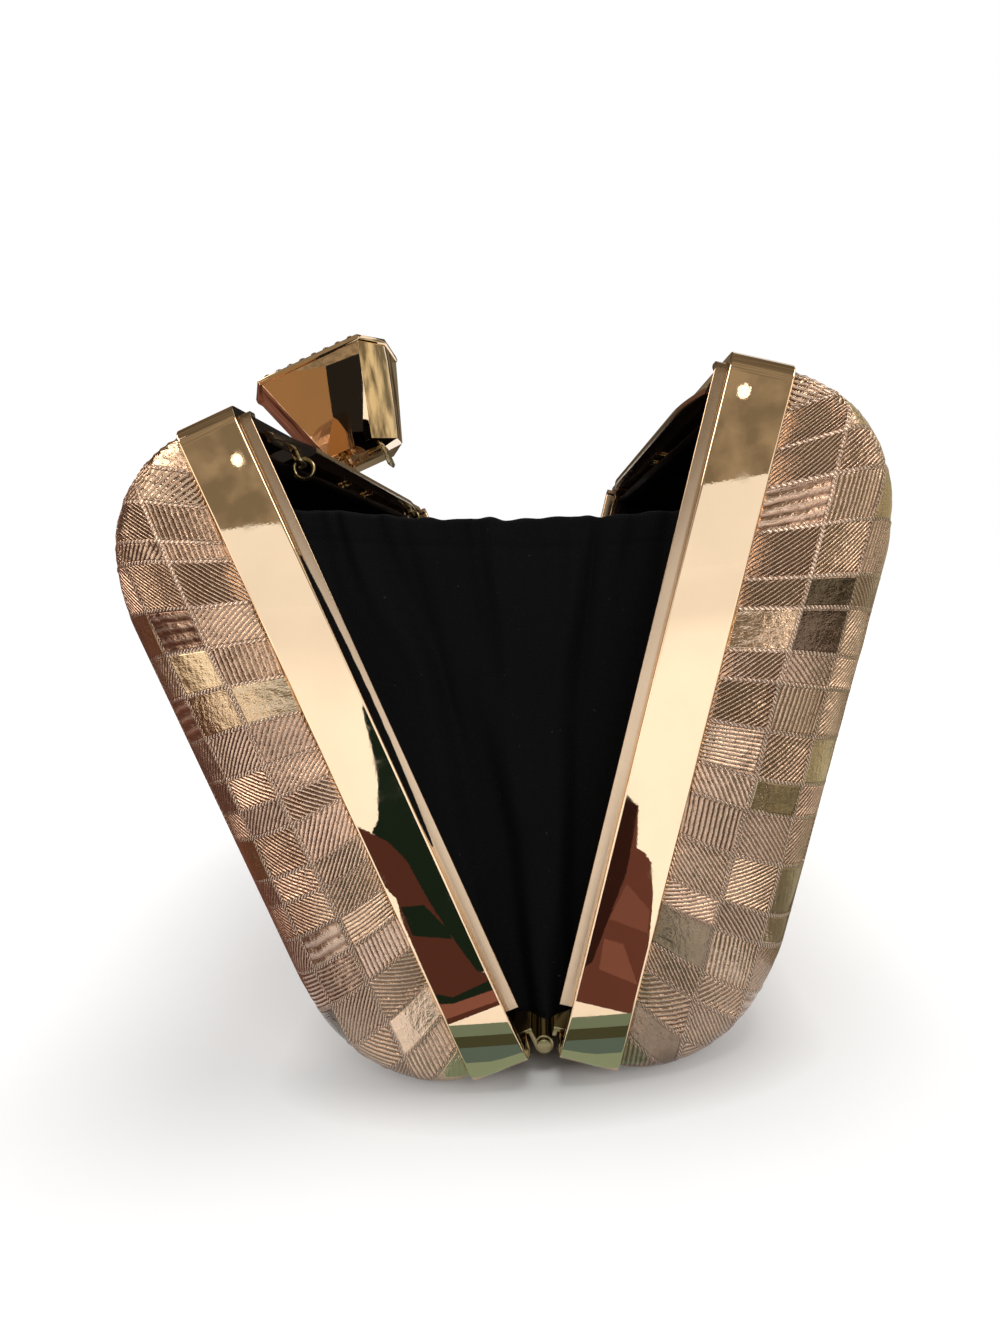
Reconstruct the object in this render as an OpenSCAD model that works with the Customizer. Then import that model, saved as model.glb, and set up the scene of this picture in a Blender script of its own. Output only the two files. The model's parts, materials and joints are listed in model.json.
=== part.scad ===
// Hard-shelled evening clutch with two hinged halves, black gussets and a jewelled clasp.
// Millimetres, +Z up, Y along the hinge. It stands open on the rounded undersides of its shells,
// and the origin is on the floor under the middle. Each half is drawn closed, with x outward from
// the closing plane and z up from the underside of its frame, and is then swung open on the hinge.

/* [Case] */
// Length along the hinge
case_l = 200; // [170:1:230]
// Height of each half from its underside to its top rail
case_h = 100; // [92:1:130]
// Angle between the halves as the clutch stands open
open_angle = 36.5; // [30:0.5:44]

/* [Frame] */
// Width of the polished band round each half
band_w = 8.5; // [8:0.25:12]
// Thickness of the band
band_t = 1.5; // [1.2:0.1:2]
// Distance from the closing plane to the edge of the band
band_gap = 1.75; // [1.7:0.05:2.5]
// Outer corner radius of the band
corner_r = 2.5; // [2:0.5:10]
// Thickness of the lip inside the band
lip_t = 1; // [0.8:0.1:1.4]
// Clearance between the closing plane and each lip
lip_clear = 0.1; // [0.05:0.05:0.3]
// How far the lip runs back along the inside of the band
lip_root = 1.2; // [0.8:0.1:2]
// Height above the underside at which the lip starts
lip_start = 8; // [7:0.5:14]
// Distance from the end of the case to the near side of the strap notch
notch_near = 6; // [5:0.5:9]
// Distance from the end of the case to the far side of the strap notch
notch_far = 20; // [14:1:26]
// Thickness of the ledge that the shell board stands on
ledge_t = 1; // [0.8:0.1:1.5]
// How far the ledge reaches in from the band
ledge_w = 2.1; // [1.8:0.1:2.4]

/* [Shells] */
// How far the rounded edge of each shell reaches in over the half
dome_r = 18.5; // [15:0.5:21]
// How far the rounded edge of each shell stands out from the band
dome_h = 23; // [15:0.5:25]
// Extra swell of the shell's face past its rounded edge
crown_rise = 1.2; // [0.5:0.1:2.5]
// Width of the swelling border between the rounded edge and the flat of the face
crown_border = 12; // [8:0.5:14]
// Corner radius of the shell's face
crown_r = 8; // [5:0.5:14]
// Thickness of the embossed cover
cover_t = 0.8; // [0.6:0.1:1]
// Thickness of the moulded shell board
board_t = 1.5; // [1.2:0.1:2]
// Thickness of the lining
lining_t = 0.5; // [0.3:0.1:0.7]
// How far the shell board tucks into the band
board_tuck = 2; // [1.5:0.1:2.5]
// Clearance between the band and the shell board
board_clear = 0.1; // [0.05:0.05:0.2]
// Clearance between the ledge and the lining
lining_clear = 0.1; // [0.05:0.05:0.3]
// Distance from the strap rings to the edge of the lining
lining_back = 0.3; // [0.2:0.1:1]

/* [Hinge] */
// Distance from the underside of the frames down to the hinge axis
hinge_drop = 1; // [0.8:0.05:1.3]
// Outer radius of the knuckles
knuckle_r = 1.4; // [1.3:0.05:1.5]
// Radius of the hinge pin
pin_r = 0.6; // [0.5:0.05:0.65]
// Radial running clearance of the hinge pin
pin_clear = 0.05; // [0.02:0.01:0.08]
// Number of knuckles, odd so that one half has both ends
knuckles = 11; // [7:2:15]
// Distance from the end of the case to the end of the hinge
hinge_margin = 6.5; // [6.5:0.5:12]
// Gap between neighbouring knuckles
knuckle_gap = 0.2; // [0.1:0.05:0.4]
// Thickness of the hinge leaves
leaf_t = 0.6; // [0.5:0.05:0.7]
// Reach of the hinge leaf from the closing plane
leaf_reach = 6.6; // [6.2:0.1:6.8]
// Clearance between a leaf and the other leaf's knuckles
leaf_clear = 0.3; // [0.2:0.05:0.5]
// Radius of the heads on the hinge pin
pin_head_r = 1.1; // [0.9:0.05:1.2]
// Thickness of the heads on the hinge pin
pin_head_t = 0.5; // [0.4:0.1:0.8]
// Number of rivets in each leaf
hinge_rivets = 5; // [3:1:7]

/* [Clasp] */
// Length of the clasp block along the top rail
block_l = 40; // [36:1:46]
// Width of the clasp block at its top
block_w = 31.8; // [28:0.2:34]
// Height of the clasp block
block_h = 19.3; // [16:0.1:22]
// Length of the flat end facing along the rail, across the top
end_face_w = 23; // [19:0.5:25]
// Length of the long side's flat at the top
side_face_l = 16; // [12:0.5:20]
// Width of the block at its foot
foot_w = 19; // [18:0.5:23]
// Length of the block at its foot
foot_l = 32; // [30:0.5:34]
// Width of the end face at the foot
foot_end_w = 10.5; // [9:0.1:14]
// Length of the long side's flat at the foot
foot_side_l = 8.8; // [6:0.1:20]
// Wall of the hollow block
block_t = 1.2; // [1:0.1:1.6]
// Height of the block above the top rail
block_lift = 4.7; // [4.6:0.05:5.5]
// Distance that the block's middle stands out from the closing plane
block_offset = 0.4; // [0:0.1:1]
// Thickness of the bezel plate on the block
bezel_t = 1.2; // [1:0.1:2]
// How far the bezel stands out round the block
bezel_rim = 0.4; // [0.2:0.1:0.8]
// Radius of each stone
stone_r = 1; // [0.8:0.05:1.2]
// Pitch of the stones
stone_pitch = 2.5; // [2.45:0.05:3.5]
// Height of a stone's crown above the bezel
stone_crown = 0.6; // [0.4:0.05:0.9]
// Depth of the channel that the stones sit in
stone_seat = 0.5; // [0.4:0.05:0.7]
// Radius of the clasp's pivot pin
pivot_r = 0.8; // [0.7:0.05:0.9]
// Radial running clearance of the clasp's pivot pin
pivot_clear = 0.05; // [0.02:0.01:0.08]
// Height of the pivot above the top rail
pivot_h = 3.2; // [3.1:0.05:3.3]
// Thickness of the clasp's base plate and of the catch plate
plate_t = 1.2; // [1:0.1:1.3]
// Length of the clasp's base plate
base_l = 30; // [29:0.5:34]
// Length of the catch plate
catch_l = 20; // [19:0.5:26]

/* [Strap rings] */
// Distance from the end of the case to each strap ring
ring_place = 32; // [26:1:45]
// Radius of the middle of the ring's wire
ring_r = 1.65; // [1.5:0.05:1.7]
// Radius of the ring's wire
ring_wire_r = 0.35; // [0.25:0.05:0.4]
// Radius of the hole in each eyelet
eyelet_hole_r = 0.6; // [0.55:0.05:0.7]

/* [Gussets] */
// Height of the gusset's top edge up each half
gusset_top = 84; // [70:1:86]
// Thickness of the gathered cloth
gusset_t = 1; // [0.8:0.1:1.2]
// Width of the hem along the top edge
hem_w = 4.4; // [4:0.1:6]
// Thickness of the hem
hem_t = 2; // [1.8:0.1:2.4]
// Width of the elastic
elastic_w = 2.4; // [2:0.1:2.6]
// Thickness of the elastic
elastic_t = 0.7; // [0.5:0.1:0.8]
// Clearance between the gusset and the linings
gusset_clear = 0.4; // [0.3:0.05:0.8]
// Clearance round the elastic in its hem
elastic_clear = 0.1; // [0.05:0.05:0.2]

/* [Hidden] */
$fn = 48;

// Overrun that takes every cut past the faces that it opens
cut = 1;
half_open = open_angle / 2;

// Frame places in a half, x outward from the closing plane
band_edge = band_gap + band_w;
ledge_top = band_edge - board_tuck;
ledge_reach = band_t + ledge_w;

// The cover starts one board clearance and its own thickness in from the band's outer face
cover_inset = band_t + board_clear - cover_t;
board_inset = cover_t;
lining_inset = cover_t + board_t;
lining_wall = ledge_reach + lining_clear;

// Rounding of the shells: angles round the edge, and the corner of each level
dome_steps = 8;
arc_steps = 5;
corner_least = 0.5;
flat_inset = cover_inset + dome_r + crown_border;

// Screws and rivets
rivet_r = 0.8;
rivet_clear = 0.05;
rivet_head_r = 1.5;
rivet_head_t = 0.5;
rivet_margin = 14;
rivet_place = 4.4;
rail_screw_place = 5.2;
screw_head_t = 0.8;
screw_short = 0.2;
base_screw_margin = 2;
catch_rivet_margin = 2.5;

// Clasp parts, x outward and z above the top rail
pivot_place = 5.6;
plate_margin = 0.45;
plate_w = 6.8;
plate_edge_r = 1;
ear_r = 1.3;
ear_t = 2;
ear_place = 9.5;
lug_t = 2;
lug_place = 6.5;
pin_over = 0.4;
tongue_place = 4.6;
tongue_t = 0.8;
tongue_w = 8;
tongue_end = 0.15;
tongue_foot_w = 3.9;
tongue_foot_t = 0.5;
tongue_ramp = 0.5;
window_clear = 0.3;
window_w = 2.1;
window_l = 9;
spring_w = 8;
spring_t = 0.35;
spring_place = 6.7;
spring_leg = 2.1;
spring_bend = 0.4;
spring_tip = 0.7;
spring_clear = 0.05;
channel_clear = 0.05;
channel_inset = 0.5;
stone_table_share = 0.6;

// Eyelets and rings
eyelet_place = 2.1;
eyelet_t = 1.2;
eyelet_w = 3;
eyelet_drop = 1.4;

// Gussets, x outward into each half and z up from its underside
gusset_tuck = 7.4;
gusset_foot = 7;

// An inner corner stays a little round, however small the outer one is
function blunt(r) = max(r, corner_least);

// Shell levels, each [x outward, inset from the band's outer face, corner radius]
function level(turn, depth) = [
    band_edge + (dome_h - depth) * sin(turn),
    cover_inset + dome_r - (dome_r - depth) * cos(turn),
    blunt(corner_r - cover_inset + (crown_r - corner_r + cover_inset) * sin(turn) - depth * cos(turn))
];
function face_level(depth) = [band_edge + dome_h - depth + crown_rise, flat_inset, crown_r];
function dome_levels(depth) = concat(
    [for (i = [0 : dome_steps]) level(90 * i / dome_steps, depth)],
    [face_level(depth)]
);

// Points round one level, counter-clockwise as seen from outside
function arc(y, z, r, start) = [
    for (i = [0 : arc_steps])
        let (a = start + 90 * i / arc_steps) [y + r * cos(a), z + r * sin(a)]
];
function loop(l) =
    let (y = case_l / 2 - l[1] - l[2], z = case_h / 2 - l[1] - l[2], m = case_h / 2)
    [
        for (p = concat(
            arc(y, m + z, l[2], 0),
            arc(-y, m + z, l[2], 90),
            arc(-y, m - z, l[2], 180),
            arc(y, m - z, l[2], 270)
        )) [l[0], p[0], p[1]]
    ];
loop_n = 4 * (arc_steps + 1);

// Lowest and widest points of an open half, taken from its cover
function height_of(l) = -l[0] * sin(half_open) + (l[1] + hinge_drop) * cos(half_open);
function reach_of(l) = l[0] * cos(half_open) + (case_h - l[1] + hinge_drop) * sin(half_open);
hinge_z = -min([for (l = dome_levels(0)) height_of(l)]);
shell_reach = max([for (l = dome_levels(0)) reach_of(l)]);
bezel_x = block_offset + block_w / 2 + bezel_rim;
bezel_z = case_h + block_lift + block_h + bezel_t + hinge_drop;
clasp_reach = bezel_x * cos(half_open) + bezel_z * sin(half_open);
middle_shift = (max(shell_reach, clasp_reach) - shell_reach) / 2;

// Puts a closed half's part where the open half has it
module back_half() {
    translate([middle_shift, 0, hinge_z])
        rotate([0, half_open, 0])
            translate([0, 0, hinge_drop])
                children();
}
module front_half() {
    translate([middle_shift, 0, hinge_z])
        mirror([1, 0, 0])
            rotate([0, half_open, 0])
                translate([0, 0, hinge_drop])
                    children();
}

// A flat outline in y and z, drawn out along x from one place to another
module along_x(from, to) {
    translate([from, 0, 0])
        rotate([90, 0, 90])
            linear_extrude(to - from)
                children();
}
// A flat outline in x and z, drawn out along y about its middle
module along_y(l) {
    rotate([90, 0, 0])
        linear_extrude(l, center = true)
            children();
}
// A round bar along y about its middle
module bar_y(l, r) {
    rotate([90, 0, 0])
        cylinder(h = l, r = r, center = true);
}

module outline(inset) {
    y = case_l / 2 - inset;
    z = case_h / 2 - inset;
    r = blunt(corner_r - inset);
    translate([0, case_h / 2]) {
        square([2 * (y - r), 2 * z], center = true);
        square([2 * y, 2 * (z - r)], center = true);
        for (side = [-1, 1], top = [-1, 1])
            translate([side * (y - r), top * (z - r)])
                circle(r);
    }
}
module ring(from, to, outer, inner) {
    along_x(from, to)
        difference() {
            outline(outer);
            outline(inner);
        }
}

module frame() {
    lip_end = band_gap + lip_root;
    difference() {
        union() {
            ring(band_gap, band_edge, 0, band_t);
            ring(ledge_top - ledge_t, ledge_top, band_t / 2, ledge_reach);
            difference() {
                union() {
                    ring(lip_clear, lip_end, band_t, band_t + lip_t);
                    ring(band_gap + cut, lip_end, band_t / 2, band_t + lip_t);
                }
                translate([-cut, -case_l / 2, band_t])
                    cube([lip_end + 2 * cut, case_l, lip_start - band_t]);
                for (end = [-1, 1])
                    translate([
                        -cut,
                        end * (case_l / 2 - (notch_near + notch_far) / 2) - (notch_far - notch_near) / 2,
                        case_h - band_t - lip_t - cut
                    ])
                        cube([lip_end + 2 * cut, notch_far - notch_near, lip_t + cut]);
            }
        }
        for (y = rivet_places())
            translate([rivet_place, y, -cut])
                cylinder(h = band_t + 2 * cut, r = rivet_r + rivet_clear);
    }
}
module rail_holes(places) {
    for (y = places)
        translate([rail_screw_place, y, case_h - band_t - cut])
            cylinder(h = band_t + plate_t + 2 * cut, r = rivet_r + rivet_clear);
}

// A domed shell between two lists of levels that run from its rim to its face
module shell(outer, inner) {
    n = len(outer);
    points = concat(
        [for (l = outer) each loop(l)],
        [for (l = inner) each loop(l)]
    );
    inside = n * loop_n;
    sides = [
        for (i = [0 : n - 2], j = [0 : loop_n - 1])
            let (a = i * loop_n + j, b = i * loop_n + (j + 1) % loop_n)
            each [[a, a + loop_n, b], [b, a + loop_n, b + loop_n]]
    ];
    linings = [
        for (i = [0 : n - 2], j = [0 : loop_n - 1])
            let (a = inside + i * loop_n + j, b = inside + i * loop_n + (j + 1) % loop_n)
            each [[a, b, a + loop_n], [b, b + loop_n, a + loop_n]]
    ];
    rim = [
        for (j = [0 : loop_n - 1])
            let (a = j, b = (j + 1) % loop_n)
            each [[a, b, inside + a], [b, inside + b, inside + a]]
    ];
    faces = [
        [for (j = [loop_n - 1 : -1 : 0]) (n - 1) * loop_n + j],
        [for (j = [0 : loop_n - 1]) inside + (n - 1) * loop_n + j]
    ];
    polyhedron(points, concat(sides, linings, rim, faces));
}
module cover() {
    shell(dome_levels(0), dome_levels(cover_t));
}
module shell_board() {
    outer = dome_levels(board_inset);
    inner = dome_levels(lining_inset);
    shell(
        concat([[ledge_top, outer[0][1], outer[0][2]]], outer),
        concat([[ledge_top, inner[0][1], inner[0][2]]], inner)
    );
}
module lining() {
    outer = dome_levels(lining_inset);
    inner = dome_levels(lining_inset + lining_t);
    start = eyelet_place + ring_r + ring_wire_r + lining_back;
    shell(
        concat(
            [
                [start, lining_wall, blunt(corner_r - lining_wall)],
                [ledge_top + lining_clear, lining_wall, blunt(corner_r - lining_wall)]
            ],
            outer
        ),
        concat(
            [
                [start, lining_wall + lining_t, blunt(corner_r - lining_wall - lining_t)],
                [ledge_top + lining_clear, lining_wall + lining_t, blunt(corner_r - lining_wall - lining_t)]
            ],
            inner
        )
    );
}

// Hinge
hinge_l = case_l - 2 * hinge_margin;
knuckle_l = hinge_l / knuckles;
function rivet_places() = [
    for (i = [0 : hinge_rivets - 1])
        (case_l - 2 * rivet_margin - 2 * hinge_margin) * (i / (hinge_rivets - 1) - 1 / 2)
];
module hinge_leaf(first) {
    riser = knuckle_r - leaf_t;
    top = band_t + leaf_t;
    clear = knuckle_r + leaf_clear - hinge_drop;
    difference() {
        union() {
            translate([riser, -hinge_l / 2, band_t])
                cube([leaf_reach - riser, hinge_l, leaf_t]);
            translate([riser, -hinge_l / 2, clear])
                cube([leaf_t, hinge_l, top - clear]);
            for (i = [first : 2 : knuckles - 1])
                translate([0, (i + 1 / 2) * knuckle_l - hinge_l / 2, 0]) {
                    translate([riser, -(knuckle_l - knuckle_gap) / 2, -hinge_drop])
                        cube([leaf_t, knuckle_l - knuckle_gap, top + hinge_drop]);
                    translate([0, 0, -hinge_drop])
                        bar_y(knuckle_l - knuckle_gap, knuckle_r);
                }
        }
        translate([0, 0, -hinge_drop])
            bar_y(hinge_l + 2 * cut, pin_r + pin_clear);
        for (y = rivet_places())
            translate([rivet_place, y, 0])
                cylinder(h = top + cut, r = rivet_r + rivet_clear);
    }
}
module leaf_rivets() {
    for (y = rivet_places())
        translate([rivet_place, y, 0]) {
            cylinder(h = band_t + leaf_t, r = rivet_r);
            translate([0, 0, band_t + leaf_t])
                cylinder(h = rivet_head_t, r = rivet_head_r);
        }
}

module front_frame() {
    color("burlywood")
        front_half()
            difference() {
                frame();
                rail_holes(base_screws());
            }
}
module back_frame() {
    color("burlywood")
        back_half()
            difference() {
                frame();
                rail_holes(catch_places());
            }
}
module front_shell_board() {
    color("dimgray") front_half() shell_board();
}
module back_shell_board() {
    color("dimgray") back_half() shell_board();
}
module front_cover() {
    color("rosybrown") front_half() cover();
}
module back_cover() {
    color("rosybrown") back_half() cover();
}
module front_lining() {
    color([0.08, 0.08, 0.09]) front_half() lining();
}
module back_lining() {
    color([0.08, 0.08, 0.09]) back_half() lining();
}
module front_hinge_leaf() {
    color("darkkhaki") front_half() hinge_leaf(0);
}
module back_hinge_leaf() {
    color("darkkhaki") back_half() hinge_leaf(1);
}
module hinge_pin() {
    color("tan")
        front_half()
            translate([0, 0, -hinge_drop]) {
                bar_y(hinge_l + knuckle_gap, pin_r);
                for (end = [-1, 1])
                    translate([0, end * (hinge_l + knuckle_gap + pin_head_t) / 2, 0])
                        bar_y(pin_head_t, pin_head_r);
            }
}
module front_hinge_rivets() {
    color("tan") front_half() leaf_rivets();
}
module back_hinge_rivets() {
    color("tan") back_half() leaf_rivets();
}

// Clasp
function base_screws() = [for (end = [-1, 1]) end * (base_l / 2 - base_screw_margin)];
function catch_places() = [for (end = [-1, 1]) end * (catch_l / 2 - catch_rivet_margin)];
module plate_outline(l) {
    translate([band_gap + plate_margin, -l / 2]) {
        translate([plate_edge_r, 0])
            square([plate_w - 2 * plate_edge_r, l]);
        translate([0, plate_edge_r])
            square([plate_w, l - 2 * plate_edge_r]);
        for (x = [plate_edge_r, plate_w - plate_edge_r], y = [plate_edge_r, l - plate_edge_r])
            translate([x, y])
                circle(plate_edge_r);
    }
}
module clasp_base() {
    color("burlywood")
        front_half()
            difference() {
                union() {
                    translate([0, 0, case_h])
                        linear_extrude(plate_t)
                            plate_outline(base_l);
                    for (end = [-1, 1])
                        translate([pivot_place, end * ear_place, case_h]) {
                            translate([-ear_r, -ear_t / 2, plate_t])
                                cube([2 * ear_r, ear_t, pivot_h - plate_t]);
                            translate([0, 0, pivot_h])
                                bar_y(ear_t, ear_r);
                        }
                }
                translate([pivot_place, 0, case_h + pivot_h])
                    bar_y(2 * ear_place + ear_t + 2 * cut, pivot_r + pivot_clear);
                rail_holes(base_screws());
            }
}
module clasp_screws() {
    color("tan")
        front_half()
            for (y = base_screws())
                translate([rail_screw_place, y, case_h - band_t]) {
                    cylinder(h = band_t + plate_t - screw_short, r = rivet_r);
                    translate([0, 0, -screw_head_t])
                        cylinder(h = screw_head_t, r = rivet_head_r);
                }
}
module clasp_pivot_pin() {
    color("tan")
        front_half()
            translate([pivot_place, 0, case_h + pivot_h])
                bar_y(2 * (ear_place + pin_over) + ear_t, pivot_r);
}
module clasp_spring() {
    rise = block_lift - plate_t - spring_clear;
    color("silver")
        front_half()
            translate([spring_place, 0, case_h + plate_t])
                along_y(spring_w)
                    polygon([
                        [0, 0],
                        [spring_leg, 0],
                        [spring_leg + spring_bend / 2, spring_bend],
                        [spring_tip + spring_t, rise],
                        [spring_tip, rise],
                        [spring_leg - spring_t / 2, spring_t],
                        [0, spring_t]
                    ]);
}
// Eight-sided outline of the clasp, with flats of the given lengths on its ends and sides
function octagon(w, l, end_w, side_l) = [
    [end_w / 2, l / 2],
    [-end_w / 2, l / 2],
    [-w / 2, side_l / 2],
    [-w / 2, -side_l / 2],
    [-end_w / 2, -l / 2],
    [end_w / 2, -l / 2],
    [w / 2, -side_l / 2],
    [w / 2, side_l / 2]
];
foot_outline = octagon(foot_w, foot_l, foot_end_w, foot_side_l);
top_outline = octagon(block_w, block_l, end_face_w, side_face_l);
function mid(a, b, share) = a + (b - a) * share;
// A solid between the foot and the top of the block, set in by a wall
module block_form(from_share, to_share, wall) {
    low = [for (i = [0 : 7]) mid(foot_outline[i], top_outline[i], from_share)];
    high = [for (i = [0 : 7]) mid(foot_outline[i], top_outline[i], to_share)];
    points = concat(
        [for (p = low) [p[0] - sign(p[0]) * wall, p[1] - sign(p[1]) * wall, from_share * block_h]],
        [for (p = high) [p[0] - sign(p[0]) * wall, p[1] - sign(p[1]) * wall, to_share * block_h]]
    );
    sides = [for (i = [0 : 7]) [i, i + 8, (i + 1) % 8 + 8, (i + 1) % 8]];
    polyhedron(points, concat(sides, [[for (i = [0 : 7]) i], [for (i = [7 : -1 : 0]) i + 8]]));
}
module clasp_block() {
    color("tan")
        front_half()
            difference() {
                union() {
                    translate([block_offset, 0, case_h + block_lift])
                        difference() {
                            block_form(0, 1, 0);
                            block_form(block_t / block_h, 1 + cut / block_h, block_t);
                        }
                    for (end = [-1, 1])
                        translate([pivot_place, end * lug_place, case_h + pivot_h]) {
                            translate([-ear_r, -lug_t / 2, 0])
                                cube([2 * ear_r, lug_t, block_lift - pivot_h + block_t / 2]);
                            bar_y(lug_t, ear_r);
                        }
                }
                translate([pivot_place, 0, case_h + pivot_h])
                    bar_y(2 * lug_place + lug_t + 2 * cut, pivot_r + pivot_clear);
            }
}
// The top outline moved out by a distance, or in by a negative one
module top_outline_by(out) {
    polygon([
        for (p = top_outline)
            [p[0] + sign(p[0]) * out, p[1] + sign(p[1]) * out]
    ]);
}
module clasp_bezel() {
    color("burlywood")
        front_half()
            translate([block_offset, 0, case_h + block_lift + block_h])
                difference() {
                    linear_extrude(bezel_t)
                        top_outline_by(bezel_rim);
                    translate([0, 0, bezel_t - stone_seat])
                        linear_extrude(stone_seat + cut)
                            difference() {
                                top_outline_by(-channel_inset);
                                top_outline_by(-channel_inset - 2 * (stone_r + channel_clear));
                            }
                }
}
module stone() {
    cylinder(h = stone_seat, r = stone_r);
    translate([0, 0, stone_seat])
        cylinder(h = stone_crown, r1 = stone_r, r2 = stone_r * stone_table_share);
}
stone_line = [
    for (p = top_outline)
        let (in = channel_inset + stone_r + channel_clear)
        [p[0] - sign(p[0]) * in, p[1] - sign(p[1]) * in]
];
module clasp_stones() {
    color("white")
        front_half()
            translate([block_offset, 0, case_h + block_lift + block_h + bezel_t - stone_seat])
                for (i = [0 : 7]) {
                    a = stone_line[i];
                    b = stone_line[(i + 1) % 8];
                    count = floor(norm(b - a) / stone_pitch);
                    for (j = [0 : count - 1])
                        translate(mid(a, b, j / count))
                            stone();
                }
}
module clasp_tongue() {
    top = block_lift;
    color("tan")
        front_half()
            translate([0, 0, case_h])
                along_y(tongue_w)
                    polygon([
                        [-tongue_place, tongue_end],
                        [-tongue_place, top - tongue_foot_t],
                        [-tongue_place - tongue_t + tongue_foot_w, top - tongue_foot_t],
                        [-tongue_place - tongue_t + tongue_foot_w, top],
                        [-tongue_place - tongue_t, top],
                        [-tongue_place - tongue_t, tongue_end + tongue_ramp],
                        [-tongue_place - tongue_t + tongue_ramp, tongue_end]
                    ]);
}
module catch_plate() {
    color("burlywood")
        back_half()
            difference() {
                translate([0, 0, case_h])
                    linear_extrude(plate_t)
                        plate_outline(catch_l);
                translate([tongue_place - window_clear, -window_l / 2, case_h - cut])
                    cube([window_w, window_l, plate_t + 2 * cut]);
                rail_holes(catch_places());
            }
}
module catch_rivets() {
    color("tan")
        back_half()
            for (y = catch_places())
                translate([rail_screw_place, y, case_h - band_t]) {
                    cylinder(h = band_t + plate_t, r = rivet_r);
                    translate([0, 0, -rivet_head_t])
                        cylinder(h = rivet_head_t, r = rivet_head_r);
                }
}

// Strap rings, hung from eyelets under the lip of the front half's top rail
eyelet_z = case_h - band_t - lip_t - eyelet_drop;
module strap_eyelet(end) {
    front_half()
        translate([eyelet_place - eyelet_t / 2, end * (case_l / 2 - ring_place), eyelet_z])
            difference() {
                union() {
                    translate([0, -eyelet_w / 2, 0])
                        cube([eyelet_t, eyelet_w, eyelet_drop]);
                    rotate([0, 90, 0])
                        cylinder(h = eyelet_t, r = eyelet_w / 2);
                }
                translate([-cut, 0, 0])
                    rotate([0, 90, 0])
                        cylinder(h = eyelet_t + 2 * cut, r = eyelet_hole_r);
                translate([-cut, -eyelet_w, eyelet_drop])
                    cube([eyelet_t + 2 * cut, 2 * eyelet_w, eyelet_w]);
            }
}
module strap_ring(end) {
    front_half()
        translate([eyelet_place, end * (case_l / 2 - ring_place), eyelet_z - ring_r])
            rotate([90, 0, 0])
                rotate_extrude()
                    translate([ring_r, 0])
                        circle(ring_wire_r);
}
module near_strap_eyelet() {
    color("tan") strap_eyelet(-1);
}
module far_strap_eyelet() {
    color("tan") strap_eyelet(1);
}
module near_strap_ring() {
    color("burlywood") strap_ring(-1);
}
module far_strap_ring() {
    color("burlywood") strap_ring(1);
}

// Gussets: a V of cloth behind each pair of end walls, with a hem that holds its elastic.
// Its corners are places in a half, turned open like the half itself.
function turned(x, z) = [
    x * cos(half_open) + (z + hinge_drop) * sin(half_open),
    -x * sin(half_open) + (z + hinge_drop) * cos(half_open)
];
gusset_low = turned(gusset_tuck, gusset_foot);
gusset_high = turned(gusset_tuck, gusset_top);
gusset_fold = turned(band_gap, gusset_foot);
gusset_y = case_l / 2 - lining_wall - lining_t - gusset_clear;
module gusset(end) {
    hem_low = gusset_high[1] - hem_w;
    wide = 2 * (gusset_high[0] + cut);
    translate([middle_shift, end * (gusset_y - hem_t / 2), hinge_z])
        difference() {
            along_y(hem_t)
                polygon([
                    [-gusset_high[0], gusset_high[1]],
                    [-gusset_low[0], gusset_low[1]],
                    [0, gusset_fold[1]],
                    [gusset_low[0], gusset_low[1]],
                    [gusset_high[0], gusset_high[1]]
                ]);
            translate([0, -end * (gusset_t + cut) / 2, (hem_low - cut) / 2])
                cube([wide, hem_t - gusset_t + cut, hem_low + cut], center = true);
            translate([0, 0, gusset_high[1] - hem_w / 2])
                cube([wide, elastic_t + 2 * elastic_clear, elastic_w + 2 * elastic_clear], center = true);
        }
}
module gusset_elastic(end) {
    translate([middle_shift, end * (gusset_y - hem_t / 2), hinge_z + gusset_high[1] - hem_w / 2])
        cube([2 * turned(band_gap, gusset_top)[0], elastic_t, elastic_w], center = true);
}
module near_gusset() {
    color([0.1, 0.1, 0.1]) gusset(-1);
}
module far_gusset() {
    color([0.1, 0.1, 0.1]) gusset(1);
}
module near_gusset_elastic() {
    color([0.25, 0.25, 0.25]) gusset_elastic(-1);
}
module far_gusset_elastic() {
    color([0.25, 0.25, 0.25]) gusset_elastic(1);
}

front_frame();
back_frame();
front_shell_board();
back_shell_board();
front_cover();
back_cover();
front_lining();
back_lining();
front_hinge_leaf();
back_hinge_leaf();
hinge_pin();
front_hinge_rivets();
back_hinge_rivets();
clasp_base();
clasp_screws();
clasp_pivot_pin();
clasp_spring();
clasp_block();
clasp_bezel();
clasp_stones();
clasp_tongue();
catch_plate();
catch_rivets();
near_strap_eyelet();
far_strap_eyelet();
near_strap_ring();
far_strap_ring();
near_gusset();
far_gusset();
near_gusset_elastic();
far_gusset_elastic();
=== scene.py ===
# %% [markdown]
# # A hard-shelled evening clutch, standing open
# The clutch is two domed halves in polished metal frames, hinged along their undersides. This
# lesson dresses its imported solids: each visible piece is modelled again with rounded edges and
# real folds, and gets a finish built from shader nodes. The solids could be shown as they are with
# new materials, but a mirror finish shows every facet, so most pieces are made afresh on the same
# measures.

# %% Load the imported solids
import json
import math
import random

import bmesh
import bpy
from mathutils import Matrix, Vector, noise


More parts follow.
